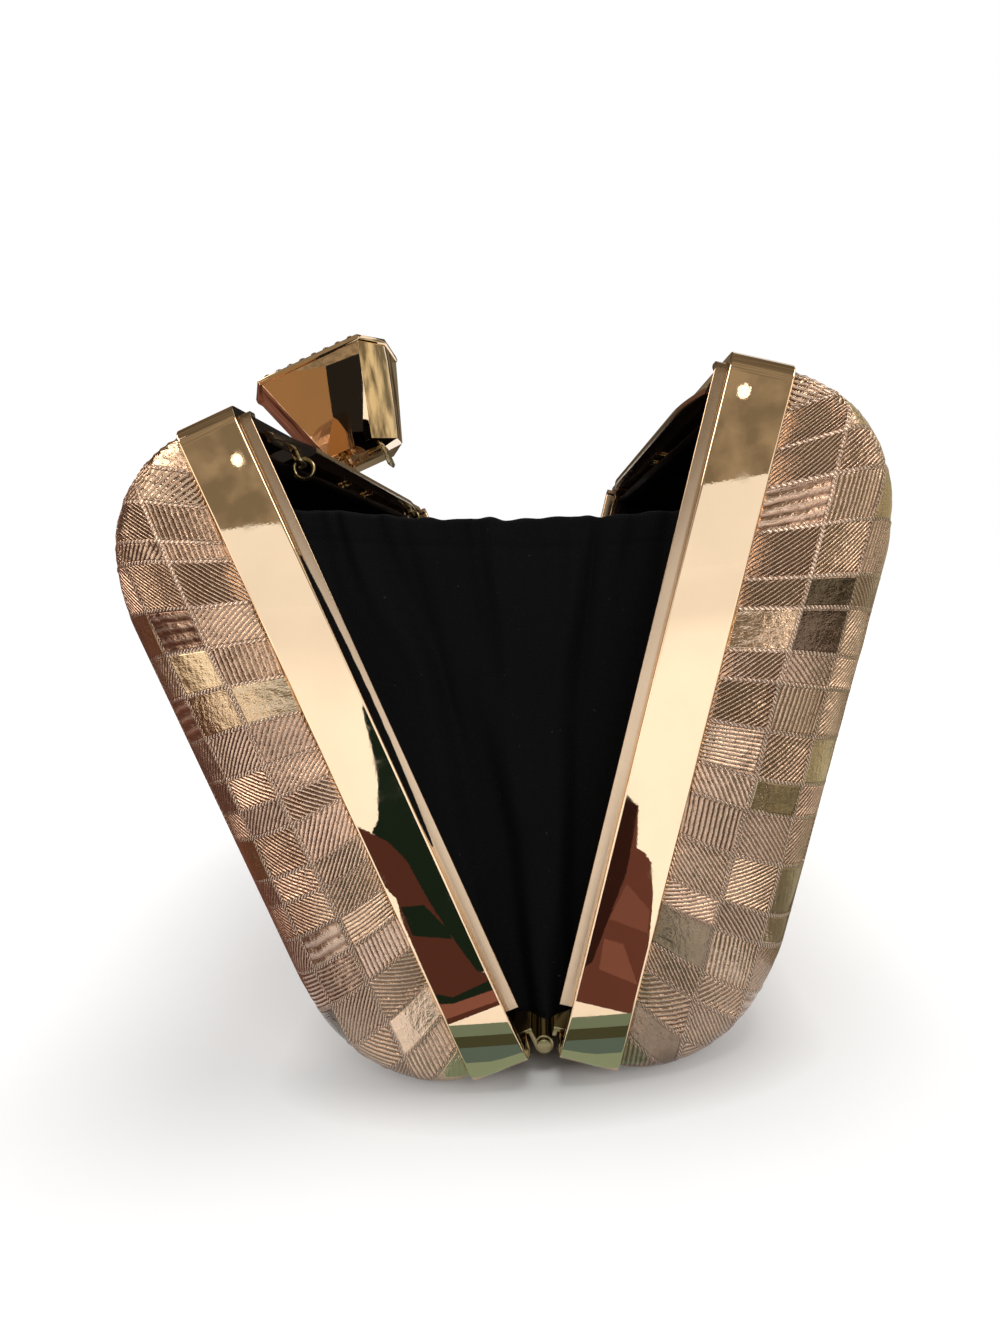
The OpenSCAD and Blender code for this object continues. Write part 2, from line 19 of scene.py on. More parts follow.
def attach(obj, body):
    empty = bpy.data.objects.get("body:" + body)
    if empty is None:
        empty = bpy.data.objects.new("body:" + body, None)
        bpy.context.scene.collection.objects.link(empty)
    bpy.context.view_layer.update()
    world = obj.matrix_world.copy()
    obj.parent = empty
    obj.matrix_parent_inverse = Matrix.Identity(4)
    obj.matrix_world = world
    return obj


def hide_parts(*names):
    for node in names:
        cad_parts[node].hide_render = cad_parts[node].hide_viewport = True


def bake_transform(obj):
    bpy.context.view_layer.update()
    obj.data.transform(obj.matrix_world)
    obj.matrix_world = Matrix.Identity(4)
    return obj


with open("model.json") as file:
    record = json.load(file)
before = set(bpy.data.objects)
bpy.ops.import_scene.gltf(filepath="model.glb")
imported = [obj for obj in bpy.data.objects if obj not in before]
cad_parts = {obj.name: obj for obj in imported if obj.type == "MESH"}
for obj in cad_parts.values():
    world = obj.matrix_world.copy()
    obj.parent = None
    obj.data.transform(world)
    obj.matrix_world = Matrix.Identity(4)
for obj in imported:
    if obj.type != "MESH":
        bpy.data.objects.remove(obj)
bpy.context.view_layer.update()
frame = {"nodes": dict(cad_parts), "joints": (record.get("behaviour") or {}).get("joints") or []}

# %% [markdown]
# ## The camera
# The camera comes first, because everything else is judged through it. It stands close to one end
# of the clutch and looks along the hinge. Its place was found by matching the corners of the two
# frames, and the axes below are worked out from its heading, its tilt and its roll. A phone's wide
# lens is what makes the far end look so small.

# %% Camera
hinge_place = next(Vector(j["pos_m"]) for j in frame["joints"] if j["name"] == "main_hinge")
CAMERA_FROM_HINGE = Vector((0.00556, -0.22442, 0.06916))
HEADING, TILT, LEAN = (math.radians(v) for v in (-2.918, -5.562, -5.527))
LENS_PX, FRAME_TALL_PX, SENSOR = 929.9, 1333, 36.0

ahead = Vector((math.sin(HEADING) * math.cos(TILT), math.cos(HEADING) * math.cos(TILT), math.sin(TILT)))
level_right = ahead.cross(Vector((0, 0, 1))).normalized()
level_up = level_right.cross(ahead)
right = level_right * math.cos(LEAN) + level_up * math.sin(LEAN)
up = level_up * math.cos(LEAN) - level_right * math.sin(LEAN)
camera_data = bpy.data.cameras.new("camera")
camera_data.sensor_width = SENSOR
camera_data.lens = SENSOR * LENS_PX / FRAME_TALL_PX
camera_data.clip_start = 0.005
camera = bpy.data.objects.new("camera", camera_data)
camera.matrix_world = Matrix((right, up, -ahead)).transposed().to_4x4()
camera.location = hinge_place + CAMERA_FROM_HINGE
bpy.context.scene.collection.objects.link(camera)
bpy.context.scene.camera = camera
print("lens in mm:", round(camera_data.lens, 2))

# %% [markdown]
# ## Places in a half
# Both halves are alike and mirrored, so each is drawn once, closed and in millimetres: x runs
# outward from the closing plane, y along the hinge and z up from the underside of the frame. One
# matrix per half then swings it open on the hinge and turns millimetres into metres. It is put
# into the mesh itself, so every object stays at the origin, as the solids do.

# %% Measures of the case, in millimetres
CASE_L, CASE_H = 200.0, 100.0
HALF_OPEN = math.radians(18.25)
HINGE_DROP = 1.0
BAND_GAP, BAND_W, BAND_T, CORNER_R = 1.75, 8.5, 1.5, 2.5
BAND_EDGE = BAND_GAP + BAND_W
DOME_R, DOME_H, CROWN_RISE, CROWN_BORDER, CROWN_R = 18.5, 23.0, 1.2, 12.0, 8.0
CORNER_LEAST = 0.5
COVER_INSET, COVER_T, BOARD_T, LINING_T, LINING_STEP = 0.8, 0.8, 1.5, 0.5, 0.6
FRONT, BACK = -1, 1
HALVES = ((FRONT, "front"), (BACK, "back"))
ALL_SMOOTH = 180
SAME_PLACE = 0.000004


def half_matrix(side):
    """Takes a closed half's millimetres to the open clutch in metres."""
    swing = Matrix.Rotation(HALF_OPEN, 4, "Y") @ Matrix.Translation((0, 0, HINGE_DROP))
    foot = Matrix.Translation(hinge_place * 1000) @ Matrix.Diagonal((side, 1, 1, 1))
    return Matrix.Scale(0.001, 4) @ foot @ swing


def piece(name, bm, material, body, nodes, side=None, matrix=None, crease=40):
    """A finished mesh on its body. Edges that turn more than crease degrees stay sharp."""
    if side is not None:
        matrix = half_matrix(side)
    if matrix is not None:
        bmesh.ops.transform(bm, matrix=matrix, verts=bm.verts)
        if matrix.determinant() < 0:
            bmesh.ops.reverse_faces(bm, faces=bm.faces)
    bm.normal_update()
    for face in bm.faces:
        face.smooth = True
    for edge in bm.edges:
        if len(edge.link_faces) == 2:
            edge.smooth = edge.calc_face_angle(0) < math.radians(crease)
    mesh = bpy.data.meshes.new(name)
    bm.to_mesh(mesh)
    bm.free()
    mesh.materials.append(material)
    made = bpy.data.objects.new(name, mesh)
    bpy.context.scene.collection.objects.link(made)
    if body:
        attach(made, body)
    if nodes:
        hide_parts(*nodes)
    print(f"{name}: {len(mesh.vertices)} vertices, {len(mesh.polygons)} faces")
    return made


# %% [markdown]
# ## Finishes: a small kit
# A finish is a Principled shader with a few nodes in front of it. Patterns read object
# coordinates, or the cover's own map of its flat sheet.

# %% Kit for finishes
class Nodes:
    """A node tree, and short ways to add and join its nodes."""

    def __init__(self, tree):
        self.tree = tree

    def node(self, kind, inputs=(), **settings):
        made = self.tree.nodes.new("ShaderNode" + kind)
        for key, value in settings.items():
            setattr(made, key, value)
        for key, value in dict(inputs).items():
            if isinstance(value, bpy.types.NodeSocket):
                self.tree.links.new(value, made.inputs[key])
            else:
                made.inputs[key].default_value = value
        return made

    def math(self, operation, a, b=0.0, c=0.0):
        return self.node("Math", {0: a, 1: b, 2: c}, operation=operation).outputs[0]

    def spread(self, value, low, high, to_low=0.0, to_high=1.0):
        inputs = {"Value": value, "From Min": low, "From Max": high, "To Min": to_low, "To Max": to_high}
        return self.node("MapRange", inputs).outputs[0]

    def mix(self, share, a, b, **settings):
        return self.node("Mix", {0: share, 6: a, 7: b}, data_type="RGBA", **settings).outputs[2]

    def rays_that_look(self):
        """1 for rays from the camera, a mirror or glass, and 0 for those that gather light."""
        rays = self.node("LightPath").outputs
        seen = self.math("MAXIMUM", rays["Is Camera Ray"], rays["Is Glossy Ray"])
        return self.math("MAXIMUM", seen, rays["Is Transmission Ray"])


class Finish(Nodes):
    """A material with its shader."""

    def __init__(self, name, **sockets):
        self.material = bpy.data.materials.new(name)
        self.material.use_nodes = True
        super().__init__(self.material.node_tree)
        self.shader = self.tree.nodes["Principled BSDF"]
        for socket, value in sockets.items():
            self.shader.inputs[socket.replace("_", " ")].default_value = value

    def place(self):
        return self.node("TexCoord").outputs["Object"]

    def noise(self, scale, detail=3.0, where=None, rough=0.5):
        inputs = {"Vector": where or self.place(), "Scale": scale, "Detail": detail, "Roughness": rough}
        return self.node("TexNoise", inputs).outputs["Fac"]

    def attribute(self, name, output="Fac"):
        return self.node("Attribute", attribute_name=name).outputs[output]

    def feed(self, socket, value):
        self.tree.links.new(value, self.shader.inputs[socket])

    def bump(self, height, distance, strength=1.0, under=None):
        inputs = {"Height": height, "Distance": distance, "Strength": strength}
        if under is not None:
            inputs["Normal"] = under
        return self.node("Bump", inputs).outputs[0]

    def show(self, shader_output):
        """Makes another shader's output the surface."""
        output = next(n for n in self.tree.nodes if n.type == "OUTPUT_MATERIAL")
        self.tree.links.new(shader_output, output.inputs["Surface"])


def tint(r, g, b):
    return (r, g, b, 1.0)


# %% [markdown]
# ## Polished frame metal
# The frames are plated a pale rose-gold and polished like a mirror. A perfect mirror looks false,
# because a hand-polished band is never quite flat: long soft waves bend the reflections, and fine
# wiping scratches and smears dull it here and there. Waves come from a large, weak bump and
# the marks from noise in the roughness.

# %% Frame, clasp and hinge metals
def polished(name, colour, dull, wave):
    f = Finish(name, Metallic=1.0)
    cloud = f.noise(90, 4)
    worn = f.mix(f.spread(cloud, 0.35, 0.7), tint(*colour), tint(*[c * 0.93 for c in colour]))
    f.feed("Base Color", worn)
    smear = f.noise(260, 5, rough=0.65)
    f.feed("Roughness", f.spread(smear, 0.5, 0.85, dull, dull + 0.07))
    waves = f.bump(f.noise(38, 1), 0.0011, wave)
    f.feed("Normal", f.bump(f.noise(2600, 2), 0.00001, 0.05, under=waves))
    return f.material


frame_metal = polished("polished_frame_metal", (0.94, 0.716, 0.485), 0.012, 0.10)
clasp_metal = polished("polished_clasp_metal", (0.90, 0.66, 0.43), 0.02, 0.05)
lip_metal = polished("worn_lip_metal", (0.62, 0.47, 0.33), 0.22, 0.10)
hinge_metal = polished("satin_hinge_metal", (0.50, 0.42, 0.24), 0.24, 0.05)
spring_metal = polished("plain_spring_steel", (0.55, 0.55, 0.56), 0.25, 0.05)
print("metals:", frame_metal.name, clasp_metal.name, hinge_metal.name, spring_metal.name)

# %% [markdown]
# ## Frames
# Each frame is a metal band bent round the half, with a thin lip inside it that meets the other
# half's lip, and a ledge that carries the shell. It could be made with a curve and a bevel object,
# but spinning a profile round each corner keeps the flats truly flat, which a mirror needs. The
# band's face is crowned by a hair, and its edges are rolled over.

# %% Profiles and the way round the frame
LIP_CLEAR, LIP_ROOT, LIP_START = 0.1, 1.2, 8.0
LIP_T, LIP_SINK = 1.0, 0.05
NOTCH_NEAR, NOTCH_FAR, LIP_TAPER, TAPER_SHARE = 4.5, 18.5, 24.0, 0.45
LEDGE_TOP, LEDGE_T, LEDGE_REACH = 8.25, 1.0, 3.6
CORNER_STEPS = 14
EASE = 0.3


def rounded(corners, radii, steps=4):
    """Points of a polygon with rounded corners, as [x outward, depth from the band's face]."""
    points = []
    for i, radius in enumerate(radii):
        here, before, after = (Vector(corners[(i + k) % len(corners)]) for k in (0, -1, 1))
        to_before, to_after = (before - here).normalized(), (after - here).normalized()
        centre = here + (to_before + to_after) * radius
        for k in range(steps + 1):
            turn = math.pi / 2 * k / steps
            points.append(centre - to_after * radius * math.cos(turn) - to_before * radius * math.sin(turn))
    return points


def wire(bm, points, y, z):
    """A closed profile at the underside of the case, its depth running up from the band's face."""
    verts = [bm.verts.new((p[0], y, z + p[1])) for p in points]
    return [bm.edges.new((verts[i], verts[(i + 1) % len(verts)])) for i in range(len(verts))]


def edges_of(geometry):
    return [g for g in geometry if isinstance(g, bmesh.types.BMEdge)]


def run(bm, edges, y, z):
    """Extrudes a profile straight along the band, with short steps that keep the flat flat."""
    length = math.hypot(y, z)
    for share in (EASE / length, 1 - 2 * EASE / length, EASE / length):
        moved = bmesh.ops.extrude_edge_only(bm, edges=edges)["geom"]
        verts = [g for g in moved if isinstance(g, bmesh.types.BMVert)]
        bmesh.ops.translate(bm, verts=verts, vec=(0, y * share, z * share))
        edges = edges_of(moved)
    return edges


def turn_corner(bm, edges, y, z):
    verts = list(dict.fromkeys(v for e in edges for v in e.verts))
    spun = bmesh.ops.spin(
        bm, geom=verts + edges, cent=(0, y, z), axis=(1, 0, 0), angle=math.pi / 2, steps=CORNER_STEPS
    )
    return edges_of(spun["geom_last"])


def ring_round(bm, points, corner):
    """Takes a profile all the way round the frame."""
    y, low, high = CASE_L / 2 - corner, corner, CASE_H - corner
    edges = wire(bm, points, -y, 0)
    edges = turn_corner(bm, run(bm, edges, 2 * y, 0), y, low)
    edges = turn_corner(bm, run(bm, edges, 0, high - low), y, high)
    edges = turn_corner(bm, run(bm, edges, -2 * y, 0), -y, high)
    turn_corner(bm, run(bm, edges, 0, low - high), -y, low)


# %% [markdown]
# ## Band and lip
# The band's face is a long flat between two small rolls. Two points stand close to the ends of the
# flat, or smooth shading would spread each roll's highlight over the face. The lip starts a little
# above the hinge, runs up the end wall and round the corner, and breaks off for a notch, where a
# strap's end can come out. So it is made as three bars: two with a corner, and one straight bar
# that narrows toward the notches. Its edge rubs on the other half's lip, so its plating is duller.

# %% Frame pieces
CROWN_DEPTH, OUTER_ROLL, INNER_ROLL, BACK_ROLL = 0.006, 0.3, 0.25, 0.15
ROLL_POINTS, FLAT_STEPS, FLAT_END = 8, 10, 0.008
TAPER_STEPS = 6
LIP_ROLLS = [0.02, 0.15, 0.8, 0.05]
LEDGE_ROLLS = [0.05, 0.05, 0.2, 0.2]


def band_profile():
    corners = [(BAND_EDGE, 0), (BAND_GAP, 0), (BAND_GAP, BAND_T), (BAND_EDGE, BAND_T)]
    points = rounded(corners, [OUTER_ROLL, INNER_ROLL, BACK_ROLL, BACK_ROLL], steps=ROLL_POINTS - 1)
    first, last = BAND_EDGE - OUTER_ROLL, BAND_GAP + INNER_ROLL
    shares = [FLAT_END] + [k / FLAT_STEPS for k in range(1, FLAT_STEPS)] + [1 - FLAT_END]
    flat = [Vector((first + (last - first) * share, 0)) for share in shares]
    points = points[:ROLL_POINTS] + flat + points[ROLL_POINTS:]
    middle = (first + last) / 2
    for p in points:
        if p.y < 0.01:
            p.y += CROWN_DEPTH * min(1.0, abs((p.x - middle) / (first - middle))) ** 2
    return points


def bar(points, turned_corner):
    """One bar of the lip: up an end wall and round its top corner, or straight along the top."""
    bm = bmesh.new()
    if turned_corner:
        corner = BAND_T + LIP_T + CORNER_LEAST
        y, high = CASE_L / 2 - corner, CASE_H - corner
        edges = first = wire(bm, points, 0, 0)
        upright = Matrix.Rotation(math.pi / 2, 4, "X")
        stand = Matrix.Translation((0, CASE_L / 2, LIP_START)) @ upright
        bmesh.ops.transform(bm, matrix=stand, verts=bm.verts)
        edges = turn_corner(bm, run(bm, edges, 0, high - LIP_START), y, high)
        edges = run(bm, edges, corner - NOTCH_NEAR, 0)
    else:
        edges = first = wire(bm, [(p[0], -p[1]) for p in points], NOTCH_FAR - CASE_L / 2, CASE_H)
        tapering = [LIP_TAPER / TAPER_STEPS] * TAPER_STEPS
        for length in tapering + [CASE_L - 2 * NOTCH_FAR - 2 * LIP_TAPER] + tapering:
            edges = run(bm, edges, length, 0)
        root = BAND_GAP + LIP_ROOT
        for v in bm.verts:
            inward = min(1.0, (CASE_L / 2 - NOTCH_FAR - abs(v.co.y)) / LIP_TAPER)
            share = TAPER_SHARE + (1 - TAPER_SHARE) * math.sin(max(inward, 0) * math.pi / 2)
            v.co.x = root - (root - v.co.x) * share
    bmesh.ops.contextual_create(bm, geom=first)
    bmesh.ops.contextual_create(bm, geom=edges)
    return bm


def add_to(bm, other):
    """Puts one bmesh's faces into another, with their normals outward."""
    bmesh.ops.recalc_face_normals(other, faces=other.faces)
    carrier = bpy.data.meshes.new("carrier")
    other.to_mesh(carrier)
    other.free()
    bm.from_mesh(carrier)
    bpy.data.meshes.remove(carrier)


def lip_mesh():
    end, low, high = BAND_GAP + LIP_ROOT, BAND_T - LIP_SINK, BAND_T + LIP_T
    corners = [(end, low), (LIP_CLEAR, low), (LIP_CLEAR, high), (end, high)]
    points = rounded(corners, LIP_ROLLS, steps=6)
    bm = bmesh.new()
    for end_side in (1, -1):
        one = bar(points, True)
        bmesh.ops.scale(one, vec=(1, end_side, 1), verts=one.verts)
        add_to(bm, one)
    add_to(bm, bar(points, False))
    return bm


def frame_mesh():
    bm = bmesh.new()
    ring_round(bm, band_profile(), CORNER_R)
    ledge_low = LEDGE_TOP - LEDGE_T
    corners = [(LEDGE_TOP, BAND_T), (ledge_low, BAND_T), (ledge_low, LEDGE_REACH), (LEDGE_TOP, LEDGE_REACH)]
    ring_round(bm, rounded(corners, LEDGE_ROLLS, steps=2), LEDGE_REACH + CORNER_LEAST)
    bmesh.ops.remove_doubles(bm, verts=bm.verts, dist=0.0005)
    bmesh.ops.recalc_face_normals(bm, faces=bm.faces)
    return bm


for side, word in HALVES:
    half, solid = f"{word}_half", f"{word}_frame"
    piece(f"{word}_frame_band", frame_mesh(), frame_metal, half, [solid], side=side)
    piece(f"{word}_frame_lip", lip_mesh(), lip_metal, half, [], side=side)

# %% [markdown]
# ## The sheet that covers each shell
# One flat sheet is pressed over each shell. A place on it is two lengths, a along the hinge and b
# up the half, and the function below lays it on the shell: the middle stays flat, the border
# swells a little, and the rest rolls over the rounded edge down to the band. Square cells then
# follow the surface round every corner, which a map projected from one side can't do. The same
# function at a greater depth makes the lining. The grid's lines wander a little by a vector noise,
# which is given a seed, because it starts from the clock without one.

# %% From the flat sheet to the shell
FLAT_INSET = COVER_INSET + DOME_R + CROWN_BORDER
FLAT_A, FLAT_B = CASE_L / 2 - FLAT_INSET, CASE_H / 2 - FLAT_INSET
ROLL_STEPS = 64
DRIFT_BORDER, DRIFT_LENGTH, DRIFT_SEED = 8, 24, 5


def roll_lengths():
    """Lengths along the elliptic roll, from the rim up to the crown, at equal turns."""
    spots = [
        Vector((DOME_H * math.sin(t), DOME_R * math.cos(t)))
        for t in (math.pi / 2 * k / ROLL_STEPS for k in range(ROLL_STEPS + 1))
    ]
    lengths = [0.0]
    for one, two in zip(spots, spots[1:]):
        lengths.append(lengths[-1] + (two - one).length)
    return lengths


ROLL = roll_lengths()
REACH = CROWN_BORDER + ROLL[-1]
SHEET_A, SHEET_B = FLAT_A + REACH, FLAT_B + REACH


def roll_turn(length):
    """The turn at a length up from the rim."""
    k = max(1, next((i for i, v in enumerate(ROLL) if v >= length), ROLL_STEPS))
    share = (length - ROLL[k - 1]) / (ROLL[k] - ROLL[k - 1])
    return math.pi / 2 * (k - 1 + min(share, 1.0)) / ROLL_STEPS


def level_at(q, depth):
    """Height x, inset and corner radius of the shell, q out from the flat of its face."""
    if q <= CROWN_BORDER:
        swell = 0.5 + 0.5 * math.cos(math.pi * max(q, 0) / CROWN_BORDER)
        radius = max(0.0, min(CROWN_R, CROWN_R + q))
        return BAND_EDGE + DOME_H - depth + CROWN_RISE * swell, FLAT_INSET - q, radius
    up_from_rim = REACH - q
    turn = roll_turn(max(up_from_rim, 0.0))
    past = max(0.0, -up_from_rim)
    base = CORNER_R - COVER_INSET
    radius = base + (CROWN_R - base) * math.sin(turn) - depth * math.cos(turn)
    inset = COVER_INSET + DOME_R - (DOME_R - depth) * math.cos(turn)
    step = LINING_STEP * min(1.0, past / (LEDGE_REACH / 2))
    return BAND_EDGE + (DOME_H - depth) * math.sin(turn) - past, inset + step, max(radius, CORNER_LEAST)


def shell_place(a, b, depth):
    out_a, out_b = abs(a) - FLAT_A, abs(b) - FLAT_B
    q = max(out_a, out_b)
    x, inset, radius = level_at(q, depth)
    half_y, half_z = CASE_L / 2 - inset, CASE_H / 2 - inset
    at_end = out_a >= out_b
    share = abs(b) / max(FLAT_B + q, 1e-6) if at_end else abs(a) / max(FLAT_A + q, 1e-6)
    straight = (half_z if at_end else half_y) - radius
    along = min(share, 1.0) * (straight + radius * math.pi / 4)
    turn = max(0.0, along - straight) / radius if radius > 0 else 0.0
    across = (half_y if at_end else half_z) - radius + radius * math.cos(turn)
    along = min(along, straight) + radius * math.sin(turn)
    y, z = (across, along) if at_end else (along, across)
    return Vector((x, math.copysign(y, a), CASE_H / 2 + math.copysign(z, b)))


noise.seed_set(DRIFT_SEED)


def sheet_mesh(lines_a, lines_b, depth, drift=0.0):
    """A grid on the given lines of the sheet, laid on the shell. drift makes its lines wander."""
    bm = bmesh.new()
    grid = bmesh.ops.create_grid(bm, x_segments=len(lines_a) - 1, y_segments=len(lines_b) - 1, size=1)
    index = {}
    for v in grid["verts"]:
        i = round((v.co.x + 1) / 2 * (len(lines_a) - 1))
        j = round((v.co.y + 1) / 2 * (len(lines_b) - 1))
        index[v.index] = (i, j)
        a, b = lines_a[i], lines_b[j]
        edge = min(abs(lines_a[0]) - abs(a), abs(lines_b[0]) - abs(b)) / DRIFT_BORDER
        wander = noise.noise_vector(Vector((a, b, 7)) / DRIFT_LENGTH) * drift * min(1.0, edge)
        v.co = shell_place(a + wander.x, b + wander.y, depth)
    return bm, index


print("flat sheet of each shell in mm:", round(2 * SHEET_A, 1), "by", round(2 * SHEET_B, 1))

# %% [markdown]
# ## Patchwork of the cover
# The cover is a leather-like sheet with a metallic rose-gold skin, embossed as a patchwork: small
# oblong cells, each hatched its own way, and beaded lines between them. The cells' tones differ,
# because every hatch turns the light another way. The layout is drawn by a seeded dice, so it is
# the same each run. Grid lines stand on the borders, so the beaded lines and the swell of the
# cells are real relief, while the hatching, finer than the mesh, is a bump that reads the sheet's
# own lengths.

# %% Layout of the patchwork
EDGE_COLUMN, COLUMN_LEAST, COLUMN_MOST = 8.7, 7.6, 9.4
EDGE_ROW, ROW_LEAST, ROW_MOST = 6.6, 4.6, 8.6
RIDGE_HALF, RIDGE_LIFT, BEAD_PITCH = 0.50, 0.17, 0.66
CELL_STEP, BORDER_DRIFT = 1.3, 0.9


def borders(rng, half_length, edge, low, high):
    """Places of the borders between cells, from one edge of the sheet to the other."""
    places = [-half_length + edge * k for k in range(4)]
    middle_end = half_length - 3 * edge
    while places[-1] < middle_end - high:
        places.append(places[-1] + rng.uniform(low, high))
    last = places[-1]
    if middle_end - last > high * 0.9:
        places.append((last + middle_end) / 2)
    return places + [half_length - edge * k for k in (3, 2, 1, 0)]


def lines_for(places):
    """Grid lines on and beside each border and across each cell, with the cell of each gap."""
    lines, cell, ridge = [places[0]], [], [0]
    for k, (start, end) in enumerate(zip(places, places[1:])):
        inner_start, inner_end = start + RIDGE_HALF, end - RIDGE_HALF
        steps = max(2, round((inner_end - inner_start) / CELL_STEP))
        inside = [inner_start + (inner_end - inner_start) * s / steps for s in range(steps + 1)]
        lines += inside + [end]
        ridge += [None] * len(inside) + [k + 1]
        cell += [k] * (steps + 2)
    return lines, cell, ridge


HATCHES = (
    # turn in degrees, pitch, depth of the relief, weight in the draw
    (45, 0.66, 1.0, 5),
    (-45, 0.66, 1.0, 5),
    (38, 0.74, 1.0, 2),
    (-52, 0.60, 0.9, 2),
    (0, 0.76, 0.9, 2),
    (90, 0.68, 0.9, 2),
    (90, 1.90, 1.0, 1),
    (20, 1.10, 0.10, 4),
)


def draw_cell(rng):
    turn, pitch, relief, _ = rng.choices(HATCHES, weights=[h[3] for h in HATCHES])[0]
    turn = math.radians(turn + rng.uniform(-5, 5))
    satin = relief < 0.5
    return {
        "hatch": (math.cos(turn) / pitch, math.sin(turn) / pitch, 0.0),
        "relief": relief,
        "tone": rng.choice((0.14, 0.3, 0.85, 1.0)) if satin else rng.uniform(0.66, 1.0),
        "gold": rng.uniform(0.3, 1.0) if satin else rng.uniform(0.0, 0.45),
        "tilt": (rng.uniform(-1, 1) * 0.10, rng.uniform(-1, 1) * 0.10),
        "lean": (rng.gauss(0, 1) * 0.55, rng.gauss(0, 1) * 0.55, 0.0),
        "swell": 0.18 if satin else 0.10,
    }


def cover_mesh(seed):
    rng = random.Random(seed)
    places_a = borders(rng, SHEET_A, EDGE_COLUMN, COLUMN_LEAST, COLUMN_MOST)
    places_b = borders(rng, SHEET_B, EDGE_ROW, ROW_LEAST, ROW_MOST)
    lines_a, cell_a, ridge_a = lines_for(places_a)
    lines_b, cell_b, ridge_b = lines_for(places_b)
    cells = {(i, j): draw_cell(rng) for i in range(len(places_a) - 1) for j in range(len(places_b) - 1)}
    bm, index = sheet_mesh(lines_a, lines_b, 0.0, drift=BORDER_DRIFT)
    bm.normal_update()
    bead = bm.verts.layers.float.new("bead")
    plain = [(word, bm.faces.layers.float.new(word)) for word in ("relief", "tone", "gold")]
    turned = [(word, bm.faces.layers.float_vector.new(word)) for word in ("hatch", "lean")]
    flat_map = bm.loops.layers.uv.new("sheet")
    for v in bm.verts:
        i, j = index[v.index]
        on_border = ridge_a[i] is not None or ridge_b[j] is not None
        at_rim = i in (0, len(lines_a) - 1) or j in (0, len(lines_b) - 1)
        v[bead] = 1.0 if on_border and not at_rim else 0.0
        if at_rim:
            continue
        if on_border:
            v.co += v.normal * RIDGE_LIFT
            continue
        k, m = cell_a[i], cell_b[j]
        cell = cells[(k, m)]
        across = (lines_a[i] - places_a[k]) / (places_a[k + 1] - places_a[k]) * 2 - 1
        upward = (lines_b[j] - places_b[m]) / (places_b[m + 1] - places_b[m]) * 2 - 1
        lift = cell["swell"] * (1 - across**4) * (1 - upward**4)
        lift += cell["tilt"][0] * across + cell["tilt"][1] * upward
        v.co += v.normal * lift
    for face in bm.faces:
        corners = [index[v.index] for v in face.verts]
        i, j = min(c[0] for c in corners), min(c[1] for c in corners)
        cell = cells[(cell_a[i], cell_b[j])]
        for word, layer in plain + turned:
            face[layer] = cell[word]
        for loop in face.loops:
            i, j = index[loop.vert.index]
            loop[flat_map].uv = (lines_a[i], lines_b[j])
    print("cells in the patchwork:", len(cells), "grid:", len(lines_a), "by", len(lines_b))
    return bm


# %% [markdown]
# The finish of the cover reads the cell's own hatch direction and turns the distance across it into a wave.
# Narrow grooves between round ribs look stamped, so the wave is pushed up with a power. Grooves are also
# duller, and their colour is darker: a painted shade in the hollows. Each cell also leans a little its own
# way, so that neighbours mirror different parts of the room. The crests and beads are a little less like
# metal, and the beads are coloured a paler cream: painted highlights, which give them their pale gleam.

# %% Embossed metallic cover
CREST_GLEAM = 0.30
RIB_SHARPNESS, DITCH_DEPTH, GRAIN_DEPTH, CRUMPLE_DEPTH = 0.6, 0.35, 0.35, 2.2
RELIEF_M = 0.00019


